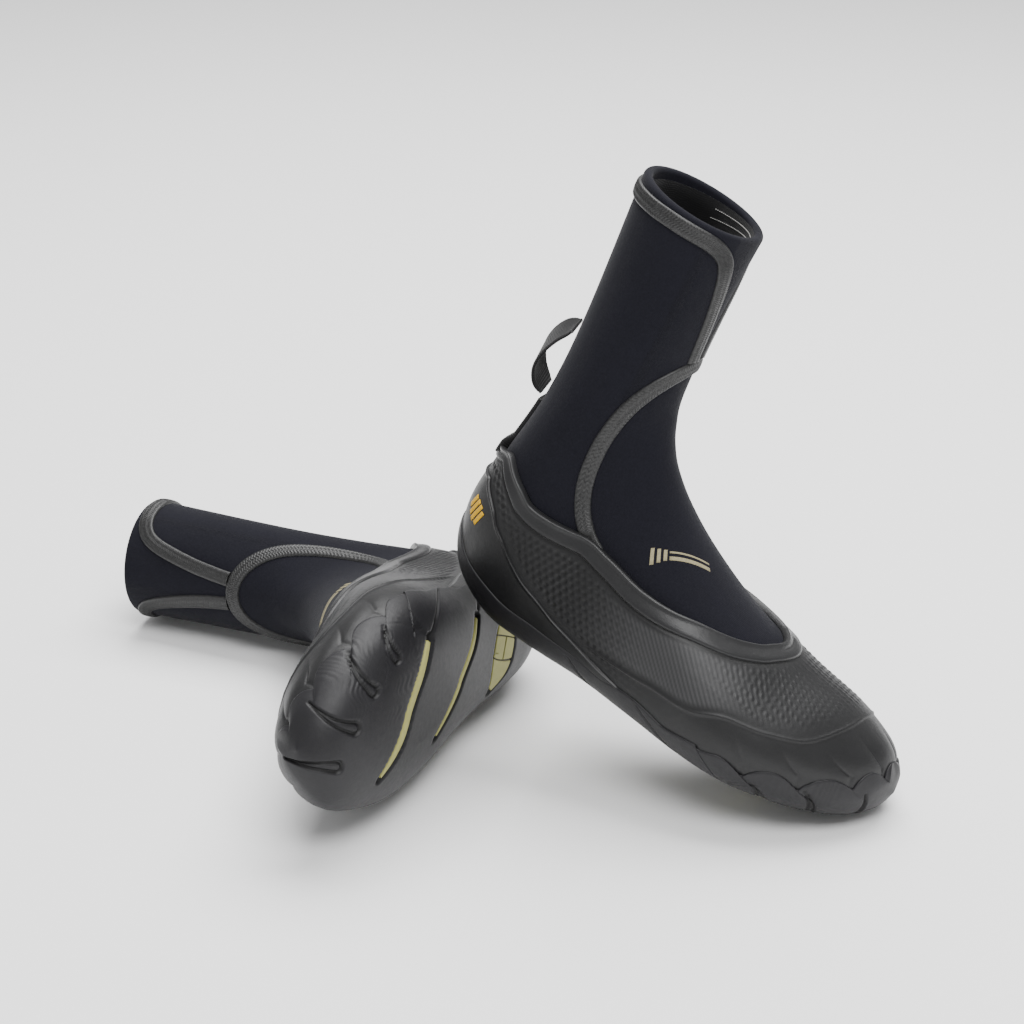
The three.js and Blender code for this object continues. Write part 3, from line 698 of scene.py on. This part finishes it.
def counter():
    """The smooth heel counter with its thin raised ridge."""
    reach = 0.272
    columns = np.linspace(-reach, reach, 361)
    top, low = sideways(ridge, columns, -0.6), sideways(sole_edge, columns, 2.0)
    rows = np.concatenate([[0, 0.004, 0.012], np.linspace(0.022, 1, 46)])
    place = mix(top, low, rows[:, None, None])
    points = off(place, RUBBER_FACE)
    length = travelled(points)
    bead = 0.85 * np.exp(-((length - 0.9) / 0.62) ** 2)
    ends = smooth(0, 0.03, reach - np.abs(columns))
    fall = smooth(0, 0.5, length)
    body = LIFT + COUNTER + 0.1 + bead
    height = mix(LIFT + RUBBER - 0.5, body, fall * ends)
    height = height + 0.2 * np.sin(np.pi * np.clip(length / length[-1], 0, 1)) * ends
    height = height - 0.5 * smooth(2.5, 0.5, length[-1] - length) * ends
    return shell(off(place, height), off(place, np.full(height.shape, LIFT + 0.2)))


def topline_band():
    """The moulded band round the shell's upper edge: a raised lip, a smooth face and an undercut."""
    across = np.array([-0.1, 0.0, 0.5, 1.0, 1.5, 2.2, 3.2, 4.6, 6.2, 7.6, 8.8, 9.5, 10.0, 10.25, 10.2])
    across = across / 10
    lift = np.array([0.1, 1.6, 2.9, 3.45, 3.5, 3.3, 3.2, 3.3, 3.45, 3.55, 3.5, 3.2, 2.5, 1.7, 1.0])

    def profile(stops):
        width = band_width(stops)[:, None]
        stop = stop_at(stops)
        fine = np.linspace(across[0], across[-1], 34)
        face = np.interp(fine, across, lift)
        split = 0.9 * (smooth(12.3, 13.6, stop) + 1 - smooth(0.9, 2.2, stop))[:, None]
        height = LIFT + face - split * np.exp(-((fine - 0.42) / 0.10) ** 2)
        return outline(fine * width, height, 0.15)
    return swept(topline, np.linspace(0, 1, 641), profile, closed=True)


def panel(angles, low, high, step=0.07):
    """A neoprene panel on an even grid, trimmed to the sections low and high at every angle."""
    bottom, top = low(angles), high(angles)
    sections = np.arange(bottom.min(), top.max() + step, step)
    k = np.clip(sections[:, None], bottom, top)
    k[0], k[-1] = bottom, top
    place = np.stack(np.broadcast_arrays(k, angles[None]), -1)
    return shell(off(place, 0.0), off(place, -NEOPRENE))


def tape_seam(phi):
    """The section of the seam under the instep tape, at an angle."""
    return section_at(INSTEP_TAPE, phi)


SEAM_START = 113.6


def instep_panel():
    half = np.concatenate([np.linspace(SEAM_START, 124, 60), np.linspace(124.8, 180, 50)])
    angles = np.radians(np.concatenate([half, 360 - half[-2::-1]]))
    return panel(angles, lambda phi: np.minimum(under_band(phi, 3), tape_seam(phi)), tape_seam)


def quarter_panel():
    half = np.concatenate([
        np.linspace(0, SEAM_START, 90)[:-1],
        np.linspace(SEAM_START, 124, 60),
        np.linspace(124.8, 166, 38),
    ])
    angles = np.radians(np.concatenate([-half[:0:-1], half]))

    def low(phi):
        in_front = folded_degrees(phi) > SEAM_START
        return np.where(in_front, tape_seam(phi), under_band(phi, 3))
    return panel(angles, low, lambda phi: section_at(COLLAR_LINE, phi))


def collar_panel():
    """The collar with its strip down the front, its cut edge rounded at the mouth."""
    t = np.linspace(0, 1, 181)
    phi = 2 * np.pi * t
    mouth = lambda u: np.stack([np.full(np.shape(u), 15.0), 2 * np.pi * np.asarray(u)], -1)
    start = np.stack([section_at(COLLAR_LINE, phi), phi], -1)
    under_rim = sideways(mouth, t, RIM_ROUND)
    rows = np.linspace(0, 1, 40)[:, None, None]
    wall = mix(start, under_rim, rows)
    ease = rounded(rows[..., 0], 0.02) * (rows[..., 0] < 0.5)
    turn = np.linspace(0, np.pi / 2, 9)[1:, None]
    rim = np.stack([sideways(mouth, t, RIM_ROUND * (1 - np.sin(a))) for a in turn[:, 0]])
    outer_rim = off(rim, -RIM_ROUND * (1 - np.cos(turn)) * np.ones_like(t))
    inner_rim = off(rim, -NEOPRENE + RIM_ROUND * (1 - np.cos(turn)) * np.ones_like(t))
    outer = np.concatenate([off(wall, -0.6 * ease * np.ones_like(t)), outer_rim])
    inner = np.concatenate([off(wall, -NEOPRENE), inner_rim])
    return shell(outer, inner, ring=True)


SOCK_ROWS = [0, 0.03, 0.08, 0.16, 0.27, 0.4, 0.54, 0.68, 0.8, 0.9, 0.96, 1]


def sock_places(top, columns, rows_up):
    """Rows of places from the toe's tip, along the underfoot to the sole's edge, and up to a top line."""
    t = np.linspace(0, 1, columns)
    low = sole_edge(t)
    under = [np.stack([low[:, 0] * share, low[:, 1]], -1) for share in SOCK_ROWS]
    join = topline(t)
    up = [mix(low, join, share) for share in np.linspace(0, 1, 14)[1:]]
    rest = [mix(join, top(t), share) for share in np.linspace(0, 1, rows_up)[1:]]
    return np.stack(under + up + rest)


def foot_wall():
    """The neoprene under the rubber: the sides of the foot and the board under it."""
    place = sock_places(lambda t: sideways(topline, t, 1.0), 121, 2)
    return shell(off(place, -0.3), off(place, -NEOPRENE), ring=True, tip=True)


def lining():
    """The knit lining, closed at the toe, with its edge turned in under the rim."""
    mouth = lambda t: np.stack([np.full(t.shape, 14.93), 2 * np.pi * t], -1)
    place = sock_places(mouth, 181, 60)
    rows = np.linspace(0, 1, len(place))[:, None] * np.ones(place.shape[1])
    gap = mix(LINING_GAP, 0.15, smooth(0.62, 0.8, rows))
    roll = 0.45 * smooth(0.985, 1.0, rows)
    outer = off(place, -NEOPRENE - gap)
    inner = off(place, -NEOPRENE - gap - LINING + roll)
    return shell(outer, inner, ring=True, tip=True)


def insole():
    """A foam footbed with a raised edge."""
    top = -NEOPRENE - LINING_GAP - LINING - 0.6
    reach = [16, 37, 42, 42, 42, 40, 34, 18]
    s, t = grid(eased(60, 0.02), eased(40, 0.03))
    place = np.stack([mix(1.5, 9.15, s), np.radians((2 * t - 1) * level(reach, s))], -1)
    edge = np.maximum(rounded(s, 0.02), rounded(t, 0.04))
    return shell(off(place, top - 1.0 * edge), off(place, top - INSOLE))


def embossed_tape(line, count, length):
    """A stretch seam tape with rounded edges and an embossed herringbone."""
    across = np.linspace(-1, 1, 27)

    def profile(stops):
        t = across[None]
        mm = stops[:, None] * length
        zigzag = np.abs(((t * 4.5 / 1.5) % 2) - 1) * 1.5
        emboss = np.sin(2 * np.pi * (mm + zigzag) / 1.9) * (1 - smooth(0.72, 0.86, np.abs(t)))
        crown = 0.72 + 0.28 * np.cos(t * np.pi / 2)
        edge = np.clip(1 - np.abs(t) ** 8, 0, 1) ** 0.5
        top = TAPE_LIFT + TAPE * crown * edge + 0.24 * emboss * edge
        return outline(t * TAPE_WIDTH / 2, top, -0.3)
    return swept(line, np.linspace(0, 1, count), profile)


def pull_loop():
    """The woven loop along LOOP_PATH, with thick edges and cross ribs. Between its ends it leans, with its
    lateral edge lower than the other."""
    pitch, lean = 1.5, 0.85
    steps = np.linspace(0, len(LOOP_PATH) - 1, 220)
    centre = along(LOOP_PATH, steps)
    heading = unit(np.gradient(centre, axis=0))
    normal = np.stack([-heading[:, 1], heading[:, 0]], -1)
    length = travelled(centre)
    across = np.linspace(-1, 1, 25)
    shoulder = np.clip(1 - np.abs(across) ** 10, 0, 1) ** 0.5
    edge = 0.22 * np.exp(-((np.abs(across) - 0.88) / 0.07) ** 2)
    weave = 0.07 * np.sin(2 * np.pi * length[:, None] / pitch + np.pi * (np.arange(25) % 2))
    half = (STRAP / 2 + weave) * shoulder + edge
    bow = np.sin(np.pi * np.clip(steps / steps[-1], 0.02, 0.98))[:, None] ** 0.35
    sides = []
    for sign, order in ((1, 1), (-1, -1)):
        offset = (sign * half)[:, ::order]
        x = centre[:, :1] + normal[:, :1] * offset
        z = centre[:, 1:] + normal[:, 1:] * offset
        y = np.broadcast_to(across[::order] * STRAP_WIDTH / 2, x.shape)
        drop = y * lean * bow
        sides.append(np.stack([x + 0.2 * drop, y, z - drop], -1))
    return bar(np.concatenate(sides, 1), length)


def back_strap():
    """The webbing that carries the loop's pull down to the rubber, with a rounded lower end."""
    line = line_of([[12.9, 0], [12.45, 0], [11.93, 0]])

    def profile(stops):
        across = np.linspace(-1, 1, 25)[None]
        end = np.sqrt(np.clip(1 - (np.clip(stops - 0.86, 0, 1) / 0.141) ** 2, 0.02, 1))[:, None]
        half = (STRAP_WIDTH - 2) / 2 * end
        shoulder = np.clip(1 - np.abs(across) ** 8, 0, 1) ** 0.5
        edge = 0.5 * np.exp(-((np.abs(across) - 0.85) / 0.09) ** 2)
        over_rubber = 3.0 * smooth(0.62, 0.8, stops)[:, None]
        ribs = 0.1 * np.sin(2 * np.pi * stops[:, None] * 48 / 1.5)
        top = LIFT + (STRAP + edge + ribs) * shoulder + over_rubber
        return outline(across * half, top, 0.1)
    return swept(line, np.linspace(0, 1, 180), profile)


def plain_mark(middle, angle, bars, height):
    """A generic printed mark: a few slanted bars. bars are (along, across, length, width) in mm."""
    pieces = []
    centre = np.array([middle[0], np.radians(middle[1])])
    a, b = slopes(centre)
    right = unit(b)
    up = unit(a - (a @ right) * right)
    turn = np.radians(angle)
    for x0, y0, length, width in bars:
        s, t = grid(np.linspace(-0.5, 0.5, 12), np.linspace(-0.5, 0.5, 5))
        x, y = x0 + s * length, y0 + t * width
        along_x = x * np.cos(turn) - y * np.sin(turn)
        along_y = x * np.sin(turn) + y * np.cos(turn)
        place = centre + stepped(along_x[..., None] * right + along_y[..., None] * up, a, b)
        pieces.append(shell(off(place, height + 0.12), off(place, height - 0.25)))
    return joined(pieces)


def joined(shapes):
    starts = np.cumsum([0] + [len(shape.points) for shape in shapes])
    return Shape(np.concatenate([shape.points for shape in shapes]),
                 np.concatenate([shape.faces + start for shape, start in zip(shapes, starts)]),
                 np.concatenate([shape.corners for shape in shapes]))


def instep_mark():
    bars = [(n * 3.4 - 12, 0, 1.9, 8.5 - 1.4 * n) for n in range(3)]
    bars += [(8, 1.6, 22, 1.0), (8, -1.6, 22, 2.0)]
    return plain_mark((6.55, 146), -58, bars, 0.0)


def heel_mark():
    bars = [(0, (n - 1.5) * 3.5, 13 - abs(n - 1.5) * 2.6, 2.4) for n in range(4)]
    return plain_mark((10.85, 41), 20, bars, LIFT + COUNTER + 0.45)


def mouth_stitches():
    """Rows of short light stitches inside the mouth, in front."""
    dashes = []
    depth = -NEOPRENE - LINING - 0.35
    dash = np.array([[-0.25, depth], [0, depth - 0.25], [0.25, depth], [0, depth + 0.15]])
    for row in range(5):
        line = lambda u, row=row: np.stack([np.full(np.shape(u), 14.86 - 0.085 * row), np.asarray(u)], -1)
        for at in np.radians(np.arange(150, 268, 2.4) + 1.2 * (row % 2)):
            s = np.linspace(at, at + np.radians(1.1), 4)
            dashes.append(swept(line, s, lambda u: np.broadcast_to(dash, (len(u), 4, 2))))
    return joined(dashes)


# --- Materials ---------------------------------------------------

def colour(hex_value):
    """A linear colour from a sRGB hex number."""
    parts = [((hex_value >> shift) & 255) / 255 for shift in (16, 8, 0)]
    return [part / 12.92 if part <= 0.04045 else ((part + 0.055) / 1.055) ** 2.4 for part in parts] + [1]


class Look:
    """A node material and the few node patterns that the looks below share."""

    def __init__(self, name, roughness, specular=0.5, sheen=0.0, sheen_roughness=0.5, coat=0.0):
        self.material = bpy.data.materials.new(name)
        self.material.use_nodes = True
        self.nodes = self.material.node_tree.nodes
        self.links = self.material.node_tree.links
        self.shader = self.nodes["Principled BSDF"]
        self.shader.inputs["Roughness"].default_value = roughness
        self.shader.inputs["Specular IOR Level"].default_value = specular
        self.shader.inputs["Sheen Weight"].default_value = sheen
        self.shader.inputs["Sheen Roughness"].default_value = sheen_roughness
        self.shader.inputs["Coat Weight"].default_value = coat
        self.place = self.nodes.new("ShaderNodeAttribute")
        self.place.attribute_name = "place"
        self.heights = None

    def node(self, kind, **values):
        made = self.nodes.new(kind)
        for key, value in values.items():
            if key in made.inputs:
                made.inputs[key].default_value = value
            else:
                setattr(made, key, value)
        return made

    def noise(self, scale, detail=3.0, roughness=0.55):
        made = self.node("ShaderNodeTexNoise", Scale=scale, Detail=detail, Roughness=roughness)
        self.links.new(self.place.outputs["Vector"], made.inputs["Vector"])
        return made.outputs["Fac"]

    def mark(self, name):
        made = self.node("ShaderNodeAttribute", attribute_name=name)
        return made.outputs["Fac"]

    def millimetres(self):
        return self.node("ShaderNodeUVMap", uv_map="mm").outputs["UV"]

    def math(self, operation, a, b=None):
        made = self.node("ShaderNodeMath", operation=operation)
        for socket, value in zip(made.inputs, (a, b)):
            if isinstance(value, bpy.types.NodeSocket):
                self.links.new(value, socket)
            elif value is not None:
                socket.default_value = value
        return made.outputs[0]

    def span(self, value, low, high):
        """A value of 0 to 1 stretched to low to high."""
        made = self.node("ShaderNodeMapRange", **{"To Min": low, "To Max": high})
        self.links.new(value, made.inputs["Value"])
        return made.outputs[0]

    def waves(self, axis, pitch):
        """Ribs square to one axis of the texture, 0 to 1, with this pitch in mm."""
        parts = self.node("ShaderNodeSeparateXYZ")
        self.links.new(self.millimetres(), parts.inputs[0])
        turned = self.math("MULTIPLY", parts.outputs[axis], 2 * np.pi / pitch)
        return self.math("MULTIPLY_ADD", self.math("SINE", turned), 0.5)

    def blend(self, amount, first, second):
        """A colour between two others, each a colour or a socket."""
        made = self.node("ShaderNodeMix", data_type="RGBA")
        self.links.new(amount, made.inputs["Factor"])
        for name, value in (("A", first), ("B", second)):
            sockets = [socket for socket in made.inputs if socket.name == name and socket.type == "RGBA"]
            if isinstance(value, bpy.types.NodeSocket):
                self.links.new(value, sockets[0])
            else:
                sockets[0].default_value = value
        return [socket for socket in made.outputs if socket.type == "RGBA"][0]

    def paint(self, value):
        self.links.new(value, self.shader.inputs["Base Color"])

    def gloss(self, value):
        self.links.new(value, self.shader.inputs["Roughness"])

    def bump(self, height, millimetres):
        """Adds a relief; several stack up."""
        made = self.node("ShaderNodeBump", Distance=millimetres / 1000)
        self.links.new(height, made.inputs["Height"])
        if self.heights is not None:
            self.links.new(self.heights, made.inputs["Normal"])
        self.heights = made.outputs["Normal"]
        self.links.new(self.heights, self.shader.inputs["Normal"])


def neoprene_look():
    """Matte jersey over foam: a very fine knit, faint mottling and a soft sheen."""
    look = Look("neoprene jersey", 0.85, specular=0.10, sheen=0.05, sheen_roughness=0.4)
    cloudy = look.noise(0.035, 2.0)
    lint = look.noise(0.9, 2.0)
    base = look.blend(look.span(cloudy, 0.2, 0.8), colour(0x121218), colour(0x18181F))
    look.paint(look.blend(look.span(lint, -0.25, 0.45), base, colour(0x222229)))
    look.gloss(look.span(look.noise(0.2), 0.78, 0.92))
    look.bump(look.waves(0, 0.9), 0.05)
    look.bump(look.waves(1, 0.7), 0.05)
    look.bump(lint, 0.12)
    return look.material


def rubber_look(name="moulded rubber", dark=0x121213, light=0x1B1B1C, roughness=(0.38, 0.52)):
    """Satin black rubber: a fine grain, a painted highlight where a piece marks one and painted shade where a
    piece marks its grooves and hollows.
    """
    look = Look(name, 0.45, specular=0.35)
    cloudy = look.noise(0.05, 3.0)
    grain = look.noise(2.2, 2.0)
    base = look.blend(cloudy, colour(dark), colour(light))
    # painted highlight: lighter grey on the midfoot rib crests that the rubber shell marks
    highlighted = look.blend(look.mark("wear_and_highlight"), base, colour(0x424243))
    # painted shade: near black in the grooves, hollows and the line under the band that a piece marks dark
    look.paint(look.blend(look.mark("dark"), highlighted, colour(0x060606)))
    look.gloss(look.span(look.noise(0.35, 4.0), *roughness))
    look.bump(grain, 0.07)
    look.bump(look.noise(0.3, 2.0), 0.10)
    return look.material


def lime_look():
    look = Look("lime rubber", 0.55, specular=0.35)
    cloudy = look.noise(0.25, 4.0)
    base = look.blend(cloudy, colour(0x8C8A4C), colour(0xA09E60))
    # painted shade: near black in the heel patch's grooves, which it marks dark
    look.paint(look.blend(look.mark("dark"), base, colour(0x0A0A08)))
    look.gloss(look.span(look.noise(0.5), 0.5, 0.68))
    look.bump(look.noise(1.8), 0.10)
    return look.material


def tape_look():
    """Stretch tape: grey rubberised cloth, mottled at random with lighter specks, partly its own tone and
    partly painted glints.
    """
    look = Look("seam tape", 0.5, specular=0.45)
    wear_and_highlight = look.noise(0.7, 4.0)
    # painted glints, with the tape's own mottling: random lighter specks in the colour
    look.paint(look.blend(look.span(wear_and_highlight, -0.5, 1.4), colour(0x0D0D0E), colour(0x303030)))
    look.gloss(look.span(look.noise(1.2), 0.25, 0.6))
    look.bump(look.noise(2.4), 0.10)
    return look.material


def webbing_look():
    look = Look("woven webbing", 0.8, specular=0.25, sheen=0.15, sheen_roughness=0.4)
    threads = look.math("MULTIPLY", look.waves(0, 1.5), look.waves(1, 0.9))
    look.paint(look.blend(threads, colour(0x101011), colour(0x242425)))
    look.gloss(look.span(look.noise(0.8), 0.7, 0.9))
    look.bump(threads, 0.20)
    return look.material


def lining_look():
    look = Look("knit lining", 0.95, specular=0.15, sheen=0.1)
    knit = look.math("MULTIPLY", look.waves(0, 1.3), look.waves(1, 1.1))
    look.paint(look.blend(knit, colour(0x060607), colour(0x0E0E10)))
    look.gloss(look.span(look.noise(0.6), 0.88, 1.0))
    look.bump(knit, 0.15)
    return look.material


def foam_look():
    look = Look("insole foam", 0.95, specular=0.2)
    cells = look.noise(1.1, 4.0, 0.7)
    look.paint(look.blend(cells, colour(0x1A1A1D), colour(0x2B2B30)))
    look.gloss(look.span(cells, 0.85, 1.0))
    look.bump(cells, 0.25)
    return look.material


def print_look(name, low, high):
    """A screen print, slightly worn."""
    look = Look(name, 0.6, specular=0.3)
    wear_and_highlight = look.noise(1.1, 5.0, 0.65)
    look.paint(look.blend(look.span(wear_and_highlight, 0.0, 1.0), colour(low), colour(high)))
    look.gloss(look.span(look.noise(0.9), 0.5, 0.75))
    look.bump(wear_and_highlight, 0.05)
    return look.material


LOOKS = {
    "neoprene": neoprene_look(),
    "rubber": rubber_look(),
    "band": rubber_look("smooth band rubber", 0x1C1C1D, 0x262627, (0.30, 0.42)),
    "counter": rubber_look("smooth counter rubber", 0x111112, 0x171718, (0.34, 0.46)),
    "sole": rubber_look("sole rubber", 0x131315, 0x1C1B1E, (0.42, 0.56)),
    "lime": lime_look(),
    "tape": tape_look(),
    "webbing": webbing_look(),
    "lining": lining_look(),
    "foam": foam_look(),
    "cream print": print_look("cream print", 0x6E684F, 0xA59C7A),
    "yellow print": print_look("yellow print", 0xB88A0C, 0xDDB01E),
    "thread": print_look("light thread", 0x8E8E8C, 0xC8C8C4),
}


# --- Building both boots -----------------------------------------

joint_named = {joint["name"]: joint for joint in frame["joints"]}


def placing(side):
    """The matrix from the boot's own frame, in mm, to the row frame, in metres."""
    yaw, pitch, roll = (np.radians(angle) for angle in TURNS[side])
    turn = Euler((roll, pitch, yaw), "XYZ").to_matrix().to_4x4()
    ankle = Vector(joint_named[f"{side}_ankle_flex"]["pos_m"])
    return Matrix.Translation(ankle) @ turn @ Matrix.Scale(0.001, 4) @ Matrix.Translation(-Vector(ANKLE))


def placed(side, points):
    mirrored = np.asarray(points, float) * [1, 1 if side == "left" else -1, 1]
    matrix = np.array(placing(side))
    return mirrored @ matrix[:3, :3].T + matrix[:3, 3]


def signed_volume(points, faces):
    a, b, c, d = (points[faces[:, n]] for n in range(4))
    return (a * np.cross(b, c)).sum() + (a * np.cross(c, d)).sum()


def build(side, name, shape, look):
    """A mesh object from a shape: mirrored and placed, cleaned, smooth, with its texture places and marks."""
    points = placed(side, shape.points)
    faces, corners = shape.faces, shape.corners
    if signed_volume(points, faces) < 0:
        faces, corners = faces[:, ::-1], corners[:, ::-1]
    mesh = bpy.data.meshes.new(f"{side}_{name}")
    mesh.vertices.add(len(points))
    mesh.vertices.foreach_set("co", points.astype(np.float32).ravel())
    mesh.loops.add(faces.size)
    mesh.loops.foreach_set("vertex_index", np.ascontiguousarray(faces).astype(np.int32).ravel())
    mesh.polygons.add(len(faces))
    mesh.polygons.foreach_set("loop_start", np.arange(0, faces.size, 4, dtype=np.int32))
    texture = mesh.uv_layers.new(name="mm")
    texture.data.foreach_set("uv", np.ascontiguousarray(corners).astype(np.float32).ravel())
    place = mesh.attributes.new("place", "FLOAT_VECTOR", "POINT")
    place.data.foreach_set("vector", shape.points.astype(np.float32).ravel())
    for mark, values in shape.marks.items():
        mesh.attributes.new(mark, "FLOAT", "POINT").data.foreach_set("value", values.astype(np.float32))
    mesh.update(calc_edges=True)
    cleaned = bmesh.new()
    cleaned.from_mesh(mesh)
    bmesh.ops.remove_doubles(cleaned, verts=cleaned.verts, dist=2e-6)
    bmesh.ops.dissolve_degenerate(cleaned, edges=cleaned.edges, dist=1e-7)
    cleaned.to_mesh(mesh)
    cleaned.free()
    mesh.polygons.foreach_set("use_smooth", np.ones(len(mesh.polygons), bool))
    mesh.materials.append(LOOKS[look])
    piece = bpy.data.objects.new(f"{side}_{name}_look", mesh)
    bpy.context.scene.collection.objects.link(piece)
    return piece


# Each piece: its name, shape, look, material slot, how it moves and the CAD nodes it stands for.
collar_line, instep_line = arch_line(COLLAR_TAPE, 0), arch_line(INSTEP_TAPE, 180)
PIECES = [
    ("outsole", outsole(), "sole", "sole", "foot", ["outsole"]),
    ("front_stripe", inlay(FRONT_STRIPE, 1.3), "lime", "lime", "foot", ["flex_stripe_front"]),
    ("rear_stripe", inlay(REAR_STRIPE, 0.9), "lime", "lime", "foot", ["flex_stripe_rear"]),
    ("heel_patch", heel_patch(), "lime", "lime", "foot", ["heel_inlay"]),
    ("rubber_shell", rubber_shell(), "rubber", "rubber", "foot", ["rubber_upper"]),
    ("counter", counter(), "counter", "rubber", "foot", ["heel_counter"]),
    ("topline_band", topline_band(), "band", "rubber", "foot", ["topline_band"]),
    ("foot_wall", foot_wall(), "neoprene", "neoprene", "foot", ["side_panel", "sole_board"]),
    ("insole", insole(), "foam", "foam", "foot", ["insole"]),
    ("heel_mark", heel_mark(), "yellow print", "rubber", "foot", []),
    ("instep_mark", instep_mark(), "cream print", "neoprene", "foot", []),
    ("lining", lining(), "lining", "lining", "bend", ["lining"]),
    ("instep_panel", instep_panel(), "neoprene", "neoprene", "bend", ["instep_panel", "throat_panel"]),
    ("quarter_panel", quarter_panel(), "neoprene", "neoprene", "bend", ["heel_panel", "calf_panel"]),
    ("collar_panel", collar_panel(), "neoprene", "neoprene", "bend", ["collar_panel"]),
    ("collar_tape", embossed_tape(collar_line, 1000, 430), "tape", "tape", "bend", ["collar_tape"]),
    ("instep_tape", embossed_tape(instep_line, 640, 270), "tape", "tape", "bend", ["instep_tape"]),
    ("back_strap", back_strap(), "webbing", "webbing", "bend", ["back_strap"]),
    ("mouth_stitches", mouth_stitches(), "thread", "lining", "bend", []),
    ("pull_loop", pull_loop(), "webbing", "webbing", "loop", ["pull_loop"]),
]

for side in ("left", "right"):
    for name, shape, look, slot, motion, nodes in PIECES:
        piece = build(side, name, shape, look)
        if nodes:
            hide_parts(*[f"{side}_{node}" for node in nodes])
        if motion == "foot":
            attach(piece, f"{side}_foot")
        elif motion == "loop":
            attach(piece, f"{side}_pull_loop_body")
        else:
            start, end = placed(side, [BEND_FROM, BEND_TO])
            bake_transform(piece)


# --- Stage, light and camera -------------------------------------

def stage_floor():
    mesh = bpy.data.meshes.new("floor")
    half = 6
    corners = [(-half, -half, 0), (half, -half, 0), (half, half, 0), (-half, half, 0)]
    mesh.from_pydata(corners, [], [(0, 1, 2, 3)])
    look = Look("pale floor", 0.9, specular=0.1)
    look.paint(look.blend(look.noise(0.4), colour(0xF4F4F4), colour(0xF7F7F7)))
    mesh.materials.append(look.material)
    floor = bpy.data.objects.new("floor", mesh)
    floor.location.z = -0.0005
    bpy.context.scene.collection.objects.link(floor)


def soft_light(name, place, target, size, power):
    data = bpy.data.lights.new(name, "AREA")
    data.shape = "RECTANGLE"
    data.size, data.size_y = size
    data.energy = power
    lamp = bpy.data.objects.new(name, data)
    lamp.location = place
    lamp.rotation_euler = (Vector(target) - Vector(place)).to_track_quat("-Z", "Y").to_euler()
    bpy.context.scene.collection.objects.link(lamp)


def studio():
    world = bpy.data.worlds.new("studio")
    world.use_nodes = True
    background = world.node_tree.nodes["Background"]
    background.inputs["Color"].default_value = (1, 1, 1, 1)
    background.inputs["Strength"].default_value = 0.55
    bpy.context.scene.world = world
    soft_light("overhead", (0.3, 0.7, 2.0), (0, 0, 0.1), (2.2, 1.6), 95)
    soft_light("front", (0.3, -1.1, 1.7), (0.05, 0, 0.12), (1.2, 0.8), 34)


def camera():
    """The photograph's view: level azimuth, looking down by the elevation, with a long lens."""
    data = bpy.data.cameras.new("camera")
    data.sensor_width = 36
    data.lens = 86.5
    target = Vector((0.01485, -0.05546, 0.14883))
    elevation = np.radians(23.27)
    distance = 1.288
    view = bpy.data.objects.new("camera", data)
    view.location = target + distance * Vector((0, -np.cos(elevation), np.sin(elevation)))
    view.rotation_euler = (target - view.location).to_track_quat("-Z", "Y").to_euler()
    bpy.context.scene.collection.objects.link(view)
    bpy.context.scene.camera = view


stage_floor()
studio()
camera()
